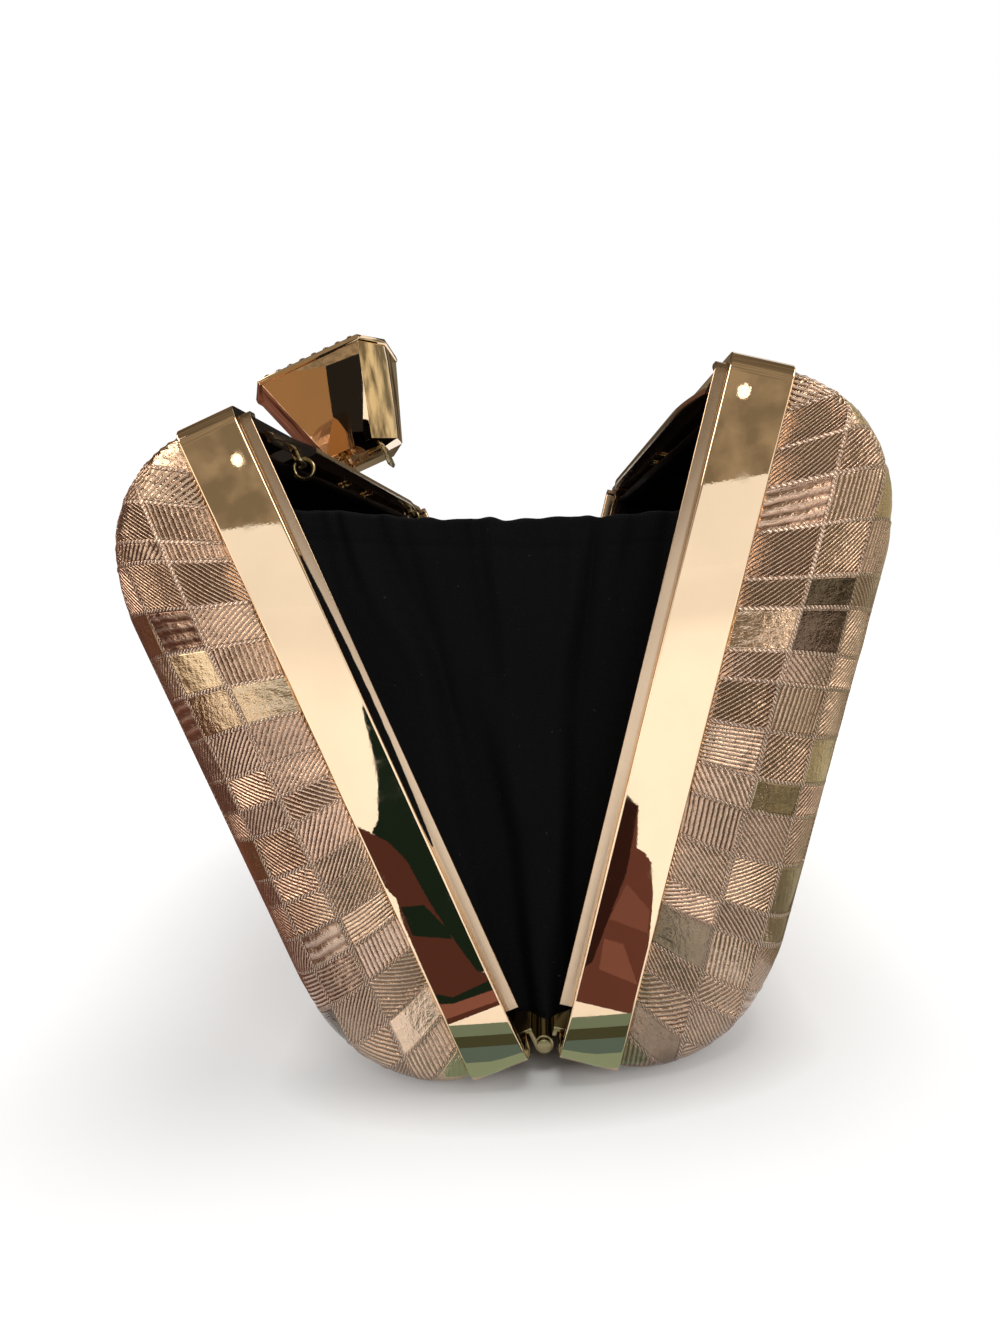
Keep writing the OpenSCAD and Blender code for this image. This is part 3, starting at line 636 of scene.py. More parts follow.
def embossed_cover():
    f = Finish("embossed_rose_gold_cover")
    sheet = f.node("UVMap", uv_map="sheet").outputs[0]

    def measured(name):
        """The sheet's place, measured along a direction that each cell holds."""
        inputs = {0: sheet, 1: f.attribute(name, "Vector")}
        return f.node("VectorMath", inputs, operation="DOT_PRODUCT").outputs["Value"]

    def wave_of(phase):
        return f.math("MULTIPLY_ADD", f.math("SINE", f.math("MULTIPLY", phase, 2 * math.pi)), 0.5, 0.5)

    waver = f.noise(0.35, 2, where=sheet)
    rib = f.math("POWER", wave_of(f.math("MULTIPLY_ADD", waver, 0.35, measured("hatch"))), RIB_SHARPNESS)
    border = f.attribute("bead")
    bead = f.spread(border, 0.30, 0.65)
    ditch = f.math("MULTIPLY", f.spread(border, 0.0, 0.25), f.spread(border, 0.5, 0.3))
    relief = f.math("MULTIPLY", f.attribute("relief"), f.math("SUBTRACT", 1.0, bead))
    ribs = f.math("MULTIPLY_ADD", f.math("SUBTRACT", rib, 1.0), relief, 1.0)
    split = f.node("SeparateXYZ", {0: sheet})
    dots = wave_of(f.math("MULTIPLY", f.math("ADD", split.outputs[0], split.outputs[1]), 1 / BEAD_PITCH))
    surface = f.math("MULTIPLY_ADD", f.math("MULTIPLY", bead, f.math("SUBTRACT", dots, 1.0)), 0.9, ribs)
    surface = f.math("MULTIPLY_ADD", ditch, -DITCH_DEPTH, surface)
    grain = f.noise(3.2, 3, where=sheet)
    crumple = f.noise(0.45, 4, where=sheet, rough=0.6)
    height = f.math("MULTIPLY_ADD", grain, GRAIN_DEPTH, f.math("ADD", surface, measured("lean")))
    height = f.math("MULTIPLY_ADD", crumple, CRUMPLE_DEPTH, height)
    f.feed("Normal", f.bump(height, RELIEF_M))

    rose = f.mix(f.attribute("gold"), tint(0.95, 0.69, 0.53), tint(0.74, 0.60, 0.39))
    toned = f.mix(1.0, rose, f.attribute("tone", "Color"), blend_type="MULTIPLY")
    beads = f.math("MULTIPLY", bead, dots)
    # The beads are coloured a paler cream: a painted highlight on their tops.
    bright = f.mix(beads, toned, tint(1.0, 0.82, 0.66))
    # Crests and beads are made less like metal, so the lamps light them to a pale gleam: a stand-in for
    # their highlights.
    crest = f.math("MULTIPLY", f.spread(rib, 0.75, 1.0), relief)
    f.feed("Metallic", f.math("MULTIPLY_ADD", f.math("MAXIMUM", beads, crest), -CREST_GLEAM, 1.0))
    # The hollows, the grooves and the ditches beside the beads, are coloured darker: a painted shade.
    depth = f.spread(surface, 0.1, 1.0)
    dark = f.mix(depth, tint(0.36, 0.23, 0.165), bright)
    rubbed = f.spread(f.noise(60, 5, rough=0.6), 0.42, 0.62)
    f.feed("Base Color", f.mix(f.math("MULTIPLY", rubbed, 0.25), dark, tint(0.42, 0.29, 0.22)))
    f.feed("Roughness", f.spread(depth, 0.0, 1.0, 0.34, 0.13))
    return f.material


def thicken(made, thickness, offset):
    """Gives a sheet its thickness, in millimetres, to the inside (-1) or to both sides (0)."""
    wall = made.modifiers.new("thickness", "SOLIDIFY")
    wall.thickness, wall.offset = thickness / 1000, offset


cover_skin = embossed_cover()
COVER_SEED = 40
for side, word in HALVES:
    cover = piece(
        f"{word}_cover_embossed", cover_mesh(COVER_SEED + side), cover_skin, f"{word}_half",
        [f"{word}_cover"], side=side, crease=ALL_SMOOTH,
    )
    thicken(cover, COVER_T, -1)

# %% [markdown]
# ## Boards and linings
# Under the cover is a moulded board, which only its edge ever shows. It keeps its solid and gets a
# plain fibrous finish. The lining is black satin, glued inside the board. It is made on the same
# sheet at a greater depth, and lies in faint slack waves, because glued satin is never drum-tight.

# %% Board and lining finishes
def board_finish():
    f = Finish("pressed_board", Roughness=0.8)
    fibre = f.noise(900, 4)
    f.feed("Base Color", f.mix(fibre, tint(0.09, 0.08, 0.075), tint(0.17, 0.15, 0.14)))
    f.feed("Normal", f.bump(fibre, 0.0001, 0.5))
    return f.material


def black_cloth(name, colour, rough, threads, shine):
    """Black cloth with a fine weave. Its shine is low, as a pale room would turn it grey."""
    f = Finish(name, Specular_IOR_Level=shine)
    where = f.place()
    warp = f.node("TexWave", {"Vector": where, "Scale": threads}, bands_direction="X").outputs["Fac"]
    weft = f.node("TexWave", {"Vector": where, "Scale": threads}, bands_direction="Z").outputs["Fac"]
    weave = f.math("MULTIPLY", warp, weft)
    cloud = f.noise(45, 4)
    lint = f.spread(f.noise(1400, 2), 0.74, 0.80)
    base = f.mix(cloud, tint(*colour), tint(*[c * 2.0 for c in colour]))
    f.feed("Base Color", f.mix(f.math("MULTIPLY", lint, 0.10), base, tint(0.35, 0.34, 0.33)))
    f.feed("Roughness", f.spread(cloud, 0.3, 0.7, rough, rough + 0.12))
    f.feed("Normal", f.bump(weave, 0.00006, 0.6))
    return f.material


board = board_finish()
satin = black_cloth("black_satin_lining", (0.0090, 0.0055, 0.0050), 0.50, 900, 0.02)
gusset_cloth = black_cloth("black_gusset_cloth", (0.0040, 0.0040, 0.0043), 0.80, 700, 0.05)
elastic_cloth = black_cloth("black_elastic", (0.005, 0.005, 0.005), 0.7, 400, 0.08)
LINING_DEPTH, LINING_END, LINING_SEED = COVER_T + BOARD_T, 4.4, 5
LINING_TAIL = BAND_EDGE - LINING_END
SLACK, SLACK_WAVES, SLACK_BORDER = 0.22, 0.30, 12


def lining_mesh(seed):
    steps_a, steps_b = 120, 72
    half_a, half_b = SHEET_A + LINING_TAIL, SHEET_B + LINING_TAIL
    lines_a = [half_a * (2 * k / steps_a - 1) for k in range(steps_a + 1)]
    lines_b = [half_b * (2 * k / steps_b - 1) for k in range(steps_b + 1)]
    bm, index = sheet_mesh(lines_a, lines_b, LINING_DEPTH)
    bm.normal_update()
    for v in bm.verts:
        i, j = index[v.index]
        a, b = lines_a[i], lines_b[j]
        inside = min(1.0, min(half_a - abs(a), half_b - abs(b)) / SLACK_BORDER)
        slack = SLACK + SLACK_WAVES * noise.fractal(Vector((a / 16, b / 26, seed)), 0.9, 2.0, 3)
        v.co -= v.normal * max(0.0, slack) * inside
    return bm


for side, word in HALVES:
    lining = piece(
        f"{word}_lining_satin", lining_mesh(LINING_SEED + side), satin, f"{word}_half",
        [f"{word}_lining"], side=side, crease=ALL_SMOOTH,
    )
    thicken(lining, LINING_T, -1)
    shown = frame["nodes"][f"{word}_shell_board"]
    shown.data.materials.clear()
    shown.data.materials.append(board)

# %% [markdown]
# ## Gussets
# At each end a cloth gusset joins the halves, so that nothing falls out when the clutch opens. It is a wide
# piece of cloth, gathered by the elastic in its top hem and sewn down each side, so it hangs inward in soft
# folds that fan out from the hinge. A cloth simulation could find the folds, but these few are easy to lay
# by formula, and come out the same each run. The elastic is laid by the same formula, inside the hem. A
# short dark edge of cloth lies between the front band and its lip: it is the cloth's raw edge, and also a
# painted shade in the slit there.

# %% Gusset shape
GUSSET_TUCK, GUSSET_FOOT = 7.4, 7.0
GUSSET_TOPS = {FRONT: 88.5, BACK: 81.0}
GUSSET_Y, GUSSET_T, GUSSET_SEED = 94.6, 0.4, 1.1
TOP_WIDTH, TALL, TOP_BOW, BELLY, TOP_DIP = 68.0, 76.0, 4.5, 4.0, 1.9
SMALL_FOLD, MEDIUM_FOLD, LARGE_FOLD = 0.42, 0.75, 1.5
EDGE_LOW, EDGE_TOP, EDGE_REACH, EDGE_T = 34.0, 78.0, 0.75, 0.4
HEM_W, HEM_HALF, HEM_MIDDLE = 4.4, 0.8, -0.3
ELASTIC_W, ELASTIC_T, ELASTIC_SHARE = 2.4, 0.7, 0.97


def gusset_base(across, down, end):
    """The cloth without folds: across from the front half (-1) to the back half (1), and down."""
    share = 1 - down / TALL
    edges = {}
    for side in (FRONT, BACK):
        z = GUSSET_FOOT + (GUSSET_TOPS[side] - GUSSET_FOOT) * share
        edges[side] = half_matrix(side) @ Vector((GUSSET_TUCK, end * GUSSET_Y, z)) * 1000
    spot = edges[FRONT].lerp(edges[BACK], (across + 1) / 2)
    middle = 1 - across * across
    spot.y -= end * middle * (TOP_BOW * share + BELLY * math.sin(math.pi * share))
    spot.z -= TOP_DIP * middle * share**2
    return spot


def gusset_folds(across, down, seed):
    """How far a fold pushes the cloth outward. Small gathers die out below the hem, big folds don't."""
    s = across * TOP_WIDTH / 2
    slow = noise.noise(Vector((s / 9, down / 26, seed)))
    quick = noise.noise(Vector((s / 3, down / 9, seed + 5)))
    small = SMALL_FOLD * math.sin(1.9 * s + 6.0 * slow + seed) * (0.5 + 1.0 * quick)
    medium = MEDIUM_FOLD * math.sin(0.66 * s + 3.4 * slow + 2 * seed)
    large = LARGE_FOLD * math.sin(0.21 * s + 1.8 * slow + seed)
    folds = small * math.exp(-down / 9)
    folds += medium * math.exp(-down / 30) * min(1.0, 0.35 + down / 8)
    folds += large * (1 - math.exp(-down / 14))
    return folds * min(1.0, (1 - abs(across)) * 7)


def gusset_rows():
    """Down from the top and outward, up the panel, over the hem and down its inner face."""
    panel_rows, hem_rows = 56, 9
    rows = [(TALL - (TALL - HEM_W) * k / panel_rows, 0.0) for k in range(panel_rows + 1)]
    for k in range(1, 2 * hem_rows):
        turn = math.pi * k / (2 * hem_rows)
        wide = 2 * HEM_HALF * abs(math.sin(turn)) ** 0.6
        down = HEM_W / 2 * (1 + math.cos(2 * turn)) if k != hem_rows else 0.0
        front = k <= hem_rows
        rows.append((down, HEM_MIDDLE + (0.5 if front else -0.5) * wide * (1.0 if k != hem_rows else 0.0)))
    return rows


def gusset_mesh(end, seed):
    rows, columns = gusset_rows(), 150
    bm = bmesh.new()
    grid = bmesh.ops.create_grid(bm, x_segments=columns, y_segments=len(rows) - 1, size=1)
    for v in grid["verts"]:
        across = v.co.x
        down, outward = rows[round((v.co.y + 1) / 2 * (len(rows) - 1))]
        spot = gusset_base(across, down, end)
        spot.y += end * (gusset_folds(across, down, seed) + outward)
        s = across * TOP_WIDTH / 2
        ripple = noise.noise(Vector((s / 2.6, seed, 3))) + 0.5 * noise.noise(Vector((s / 7, seed, 9)))
        crest = math.exp(-down / 1.5) * 0.55 * ripple
        spot.z += crest * min(1.0, (1 - abs(across)) * 9)
        v.co = spot / 1000
    if end > 0:
        bmesh.ops.reverse_faces(bm, faces=bm.faces)
    return bm


def join_loops(bm, loops):
    """Skins a row of four-cornered loops and closes both ends."""
    for one, two in zip(loops, loops[1:]):
        for k in range(4):
            m = (k + 1) % 4
            bm.faces.new((one[k], one[m], two[m], two[k]))
    bm.faces.new(loops[0])
    bm.faces.new(loops[-1])


def cloth_edge_and_slit_shade():
    """A dark cloth edge between the front band and its lip at both ends: the cloth's raw edge, and also a
    painted shade in the slit there.
    """
    bm = bmesh.new()
    steps = 60
    root = CASE_L / 2 - BAND_T + LIP_SINK
    for end in (-1, 1):
        loops = []
        for k in range(steps + 1):
            share = k / steps
            z = EDGE_LOW + (EDGE_TOP - EDGE_LOW) * share
            fray = 0.10 * noise.noise(Vector((z / 1.7, 3, end * 5)))
            reach = 0.05 + (EDGE_REACH + fray) * math.sin(math.pi * share) ** 0.8
            near, far = BAND_GAP - reach, BAND_GAP + 0.05
            loop = []
            for x, n in ((far, EDGE_T), (near, EDGE_T * 0.8), (near, 0.02), (far, 0.02)):
                loop.append(bm.verts.new((x, end * (root + n), z)))
            loops.append(loop)
        join_loops(bm, loops)
    bmesh.ops.recalc_face_normals(bm, faces=bm.faces)
    return bm


def elastic_mesh(end, seed):
    columns = 146
    bm = bmesh.new()
    loops = []
    for column in range(columns + 1):
        a = ELASTIC_SHARE * (2 * column / columns - 1)
        loop = []
        for low, out in ((-0.5, -0.5), (0.5, -0.5), (0.5, 0.5), (-0.5, 0.5)):
            spot = gusset_base(a, HEM_W / 2 + low * ELASTIC_W, end)
            spot.y += end * (gusset_folds(a, HEM_W / 2, seed) + HEM_MIDDLE + out * ELASTIC_T)
            loop.append(bm.verts.new(spot / 1000))
        loops.append(loop)
    join_loops(bm, loops)
    bmesh.ops.recalc_face_normals(bm, faces=bm.faces)
    return bm


def bend_with_hinge(made):
    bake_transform(made)


# This dark cloth edge is the raw edge of the cloth and also a painted shade in the slit between band and
# lip.
piece(
    "front_cloth_edge_and_slit_shade", cloth_edge_and_slit_shade(), gusset_cloth, "front_half", [],
    matrix=half_matrix(FRONT),
)
for end, word in ((-1, "near"), (1, "far")):
    seed = 0.7 * end + GUSSET_SEED
    cloth = piece(
        f"{word}_gusset_cloth", gusset_mesh(end, seed), gusset_cloth, None,
        [f"{word}_gusset"], crease=ALL_SMOOTH,
    )
    area = sum(p.area for p in cloth.data.polygons)
    thicken(cloth, GUSSET_T, 0)
    bend_with_hinge(cloth)
    elastic = piece(
        f"{word}_elastic_band", elastic_mesh(end, seed), elastic_cloth, None,
        [f"{word}_gusset_elastic"],
    )
    bend_with_hinge(elastic)
    print(f"{word} gusset: {area * 1e4:.1f} square cm of cloth")

# %% [markdown]
# ## Small metal parts
# Hinge, rivets, screws, spring and eyelets have the right shape already, but a machined solid has
# knife edges, and real ones catch the light on small rounded ones. So each solid's mesh is copied,
# its doubled corners are merged, its flat triangles are joined, and its edges are bevelled a
# little. That is quicker and truer than modelling them again.

# %% Solids with softened edges
def softened(node, width, segments=2, angle=35):
    bm = bmesh.new()
    bm.from_mesh(frame["nodes"][node].data)
    bmesh.ops.remove_doubles(bm, verts=bm.verts, dist=SAME_PLACE)
    bmesh.ops.dissolve_limit(bm, angle_limit=math.radians(0.5), verts=bm.verts, edges=bm.edges)
    sharp = [e for e in bm.edges if len(e.link_faces) == 2 and e.calc_face_angle(0) > math.radians(angle)]
    bmesh.ops.bevel(
        bm, geom=sharp, offset=width, offset_type="OFFSET", segments=segments, profile=0.5, affect="EDGES",
        clamp_overlap=True, material=-1,
    )
    return bm


SOFTENED = (
    ("front_hinge_leaf", 0.00008, hinge_metal, "front_half", "hinge_metal"),
    ("back_hinge_leaf", 0.00008, hinge_metal, "back_half", "hinge_metal"),
    ("hinge_pin", 0.00012, hinge_metal, "front_half", "hinge_metal"),
    ("front_hinge_rivets", 0.00015, hinge_metal, "front_half", "hinge_metal"),
    ("back_hinge_rivets", 0.00015, hinge_metal, "back_half", "hinge_metal"),
    ("clasp_base", 0.00015, frame_metal, "front_half", "polished_frame"),
    ("clasp_screws", 0.00015, hinge_metal, "front_half", "hinge_metal"),
    ("clasp_pivot_pin", 0.00012, hinge_metal, "front_half", "hinge_metal"),
    ("clasp_spring", 0.00004, spring_metal, "front_half", "spring_steel"),
    ("clasp_tongue", 0.00010, hinge_metal, "clasp", "hinge_metal"),
    ("catch_plate", 0.00015, frame_metal, "back_half", "polished_frame"),
    ("catch_rivets", 0.00015, hinge_metal, "back_half", "hinge_metal"),
    ("near_strap_eyelet", 0.00012, hinge_metal, "front_half", "hinge_metal"),
    ("far_strap_eyelet", 0.00012, hinge_metal, "front_half", "hinge_metal"),
    ("clasp_block", 0.00030, clasp_metal, "clasp", "clasp_metal"),
    ("clasp_bezel", 0.00018, clasp_metal, "clasp", "clasp_metal"),
)
for node, width, metal, body, slot in SOFTENED:
    piece(f"{node}_finished", softened(node, width), metal, body, [node], crease=30)

# %% [markdown]
# ## Stones and strap rings
# A row of small glass stones sits in a channel round the clasp's top. Each is a rhinestone: a
# faceted crown of clear glass with a silvered back, so it flashes instead of looking hollow. The
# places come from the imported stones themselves. Glass and silvering are two pieces, for the slots
# of the part name one finish each. The strap rings are swept again, for a true round wire.

# %% Stone and ring finishes
def stone_glass():
    f = Finish("clear_stone_glass", Base_Color=tint(1, 1, 1), IOR=1.58, Transmission_Weight=1.0)
    f.feed("Roughness", f.spread(f.noise(900, 2), 0.5, 0.9, 0.0, 0.04))
    return f.material


glass = stone_glass()
silvering = polished("silvered_stone_back", (0.92, 0.92, 0.90), 0.05, 0.0)


# %% Faceted stones
def islands(bm):
    """The separate lumps of a mesh, as lists of vertices, in the mesh's own order."""
    found, met = [], set()
    for start in bm.verts:
        if start in met:
            continue
        met.add(start)
        lump = [start]
        for v in lump:
            for other in (e.other_vert(v) for e in v.link_edges):
                if other not in met:
                    met.add(other)
                    lump.append(other)
        found.append(lump)
    return found


STONE_R, STONE_SIDES, TABLE_SHARE, WAIST_SHARE = 1.0, 8, 0.55, 0.84
CROWN, GIRDLE, PAVILION = 0.55, 0.12, 0.42


def faceted(bm, seat, up, turn, upper):
    """One stone: the crown's facets, or the back that they sit on."""
    side = up.cross(Vector((0, 1, 0))).normalized()
    other = up.cross(side)

    def ring(share, height, offset, count=STONE_SIDES):
        spots = []
        for k in range(count):
            a = turn + 2 * math.pi * (k + offset) / count
            flat = side * math.cos(a) + other * math.sin(a)
            spots.append(bm.verts.new(seat + (flat * share * STONE_R + up * height) * 0.001))
        return spots

    n = STONE_SIDES
    if upper:
        low, girdle = ring(1.0, 0.0, 0), ring(1.0, GIRDLE, 0)
        middle = ring(WAIST_SHARE, GIRDLE + CROWN * 0.55, 0.5)
        table = ring(TABLE_SHARE, GIRDLE + CROWN, 0)
        bm.faces.new(low)
        for k in range(n):
            m = (k + 1) % n
            bm.faces.new((low[k], low[m], girdle[m], girdle[k]))
            bm.faces.new((girdle[k], girdle[m], middle[k]))
            bm.faces.new((girdle[m], middle[m], middle[k]))
            bm.faces.new((table[m], middle[k], middle[m]))
            bm.faces.new((table[k], middle[k], table[m]))
        bm.faces.new(table)
    else:
        rim, tip = ring(0.97, -0.02, 0), bm.verts.new(seat - up * PAVILION * 0.001)
        bm.faces.new(rim)
        for k in range(n):
            bm.faces.new((rim[k], rim[(k + 1) % n], tip))


def stones(upper):
    source = bmesh.new()
    source.from_mesh(frame["nodes"]["clasp_stones"].data)
    bmesh.ops.remove_doubles(source, verts=source.verts, dist=SAME_PLACE)
    up = (half_matrix(FRONT).to_3x3() @ Vector((0, 0, 1))).normalized()
    rng = random.Random(3)
    bm = bmesh.new()
    for lump in islands(source):
        low = min(v.co.dot(up) for v in lump)
        centre = sum((v.co for v in lump), Vector()) / len(lump)
        seat = centre + up * (low - centre.dot(up) + 0.0005)
        lean = Vector([rng.uniform(-1, 1) for _ in range(3)]) * 0.035
        faceted(bm, seat, (up + lean).normalized(), rng.uniform(0, math.pi), upper)
    source.free()
    bmesh.ops.recalc_face_normals(bm, faces=bm.faces)
    return bm


piece("clasp_stones_cut", stones(True), glass, "clasp", ["clasp_stones"], crease=5)
piece("clasp_stones_silvering", stones(False), silvering, "clasp", [], crease=5)

# %% Strap rings
RING_R, RING_WIRE_R = 1.65, 0.35


def ring_mesh(node):
    """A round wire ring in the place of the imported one."""
    box = [Vector(c) for c in frame["nodes"][node].bound_box]
    centre = frame["nodes"][node].matrix_world @ (sum(box, Vector()) / 8) * 1000
    bm = bmesh.new()
    wire_round = bmesh.ops.create_circle(bm, segments=20, radius=RING_WIRE_R)["verts"]
    upright = Matrix.Rotation(math.pi / 2, 4, "X")
    bmesh.ops.transform(bm, matrix=Matrix.Translation((RING_R, 0, 0)) @ upright, verts=wire_round)
    bmesh.ops.spin(
        bm, geom=bm.verts[:] + bm.edges[:], cent=(0, 0, 0), axis=(0, 0, 1), angle=2 * math.pi, steps=48,
        use_merge=True,
    )
    bmesh.ops.transform(bm, matrix=Matrix.Translation(centre) @ upright, verts=bm.verts)
    bmesh.ops.recalc_face_normals(bm, faces=bm.faces)
    return bm


for word in ("near", "far"):
    solid = f"{word}_strap_ring"
    piece(
        f"{solid}_wire", ring_mesh(solid), hinge_metal, f"{word}_ring", [solid],
        matrix=Matrix.Scale(0.001, 4), crease=ALL_SMOOTH,
    )

# %% [markdown]
# ## Room, light and background
# The clutch stands on a plain pale floor. A floor that is lit to pure white would burn out the metal, so
# the floor is lit plainly and only looks white to the camera: a little glow is added for rays that look,
# and none for rays that light the clutch. The glow grows with the distance from the clutch, so the floor
# close round it stays darker: a painted shade round the clutch, on top of the real soft shade under it. The
# world is white for the same rays, so that the metal reflects a bright room, and dimmer as a light.

# %% Floor and world
SIDE_GLOW, WIDE_GLOW, FAR_GLOW, ROOM_LIGHT = 0.48, 0.19, 0.08, 0.45
SIDE_START, SIDE_END, WIDE_START, WIDE_END, FAR_START, FAR_END = 0.008, 0.042, 0.03, 0.14, 0.2, 0.9
SHADE_END = 0.09
FLOOR_HALF, FLOOR_SINK = 6, 0.0002


def floor_finish():
    f = Finish("pale_floor", Base_Color=tint(0.42, 0.418, 0.413), Roughness=0.9)
    x, y, _ = f.node("SeparateXYZ", {0: f.place()}).outputs
    beyond = f.math("MAXIMUM", f.math("SUBTRACT", f.math("ABSOLUTE", y), SHADE_END), 0.0)
    lengthways = f.math("MULTIPLY", f.math("MULTIPLY", beyond, beyond), 4)
    away = f.math("SQRT", f.math("ADD", f.math("MULTIPLY", x, x), lengthways))
    # Close round the clutch there is no glow over the mid-grey floor: a painted shade round it, on top of
    # its real shade.
    side_glow = f.spread(away, SIDE_START, SIDE_END, 0.0, SIDE_GLOW)
    wide_glow = f.spread(away, WIDE_START, WIDE_END, 0.0, WIDE_GLOW)
    far_glow = f.spread(away, FAR_START, FAR_END, 0.0, FAR_GLOW)
    glow_there = f.math("ADD", f.math("ADD", side_glow, wide_glow), far_glow)
    strength = f.math("MULTIPLY", f.rays_that_look(), glow_there)
    glow = f.node("Emission", {"Color": tint(1, 1, 1), "Strength": strength})
    f.show(f.node("AddShader", {0: f.shader.outputs[0], 1: glow.outputs[0]}).outputs[0])
    return f.material


def stage_object(name, bm, material, place=(0, 0, 0)):
    """Something that belongs to the room and not to the clutch."""
    data = bpy.data.meshes.new(name)
    bm.to_mesh(data)
    bm.free()
    data.materials.append(material)
    made = bpy.data.objects.new(name, data)
    made.location = place
    bpy.context.scene.collection.objects.link(made)
    return made


floor_mesh = bmesh.new()
bmesh.ops.create_grid(floor_mesh, x_segments=1, y_segments=1, size=FLOOR_HALF)
floor = stage_object("floor", floor_mesh, floor_finish(), place=(0, 0, -FLOOR_SINK))

world = bpy.data.worlds.new("pale_room")
bpy.context.scene.world = world
world.use_nodes = True
sky = Nodes(world.node_tree)
background = sky.tree.nodes["Background"]
background.inputs["Color"].default_value = tint(1, 1, 1)
brightness = sky.spread(sky.rays_that_look(), 0.0, 1.0, ROOM_LIGHT, 1.0)
sky.tree.links.new(brightness, background.inputs["Strength"])
print("room: white floor", floor.name, "and world", world.name)


# %% [markdown]
# ## Lamps, and things for the metal to mirror
# Soft light comes from one large lamp above and a weaker one behind the camera. Polished metal
# also needs something dark to reflect, or it turns into flat cream. So plain coloured cards stand
# round the clutch, as in a studio. They show in the metal only and cast no shade, and a card may
# be mottled, as one even tone looks painted on. The first is a dim part of the room
# above the horizon, which darkens the upper ends of the bands.

# %% Lamps and cards
def lamp(name, place, aim, size, power, colour=(1, 1, 1)):
    data = bpy.data.lights.new(name, "AREA")
    data.shape, data.size, data.energy, data.color = "DISK", size, power, colour
    made = bpy.data.objects.new(name, data)
    made.location = place
    made.rotation_euler = (Vector(aim) - Vector(place)).to_track_quat("-Z", "Y").to_euler()
    made.visible_glossy = False
    bpy.context.scene.collection.objects.link(made)
    return made


def mirror_only(name, bm, colour, place=(0, 0, 0), mottle=0.0):
    """Something round the object that only mirror rays see, and that casts no shade."""
    f = Finish(name + "_paper")
    shade = tint(*colour)
    if mottle:
        low, high = (tint(*[c * (1 + way * mottle) for c in colour]) for way in (-1, 1))
        shade = f.mix(f.spread(f.noise(8.0, 3), 0.4, 0.62), low, high)
    f.show(f.node("Emission", {"Color": shade, "Strength": 1.0}).outputs[0])
    made = stage_object(name, bm, f.material, place)
    made.visible_camera = made.visible_diffuse = made.visible_shadow = made.visible_transmission = False


def patch(corners):
    bm = bmesh.new()
    bm.faces.new([bm.verts.new(c) for c in corners])
    return bm


def turned_profile(profile, start, stop, steps):
    """A profile of (outward, upward), turned between two headings off the near end, in degrees."""
    bm = bmesh.new()
    line = [bm.verts.new((0, -out, up)) for out, up in profile]
    edges = [bm.edges.new(pair) for pair in zip(line, line[1:])]
    first = Matrix.Rotation(math.radians(start), 3, "Z")
    bmesh.ops.rotate(bm, verts=line, cent=(0, 0, 0), matrix=first)
    bmesh.ops.spin(
        bm, geom=line + edges, cent=(0, 0, 0), axis=(0, 0, 1), angle=math.radians(stop - start), steps=steps
    )
    return bm


def seen_in_band(side, across, up):
    """Where the floor carries a card's corner that the camera is to see at this place on a band."""
    spot = half_matrix(side) @ Vector((BAND_GAP + across, -CASE_L / 2, up))
    ray = spot - camera.location
    ray.y = -ray.y
    return spot + ray * (spot.z / -ray.z)


lamp("top_softbox", (0.16, 0.05, 0.85), (0, -0.05, 0), 0.6, 6.4)
lamp("front_softbox", (0.35, -0.8, 0.5), (0, 0, 0.05), 0.5, 2.0)
DIM_R, DIM_LOW, DIM_HIGH, DIM_WIDE, DIM_STEPS = 3.0, 4.6, 60, 60, 16
rises = [math.radians(DIM_LOW + (DIM_HIGH - DIM_LOW) * k / DIM_STEPS) for k in range(DIM_STEPS + 1)]
arc = [(DIM_R * math.cos(a), DIM_R * math.sin(a)) for a in rises]
dim_room = turned_profile(arc, -DIM_WIDE, DIM_WIDE, steps=48)
mirror_only("dim_room", dim_room, (0.29, 0.24, 0.17), place=(0, -0.1, 0.05), mottle=0.25)

# %% [markdown]
# What lies before the near end is mirrored in the two bands: a dark cloth and a brown one with
# folds, and pale green paper close to the metal. The cards are drawn where they should be seen,
# as places on a band (across from its closing edge, up from the underside), and one reflection
# puts each corner on the floor. Two cards hang close before the clasp, for its near face.

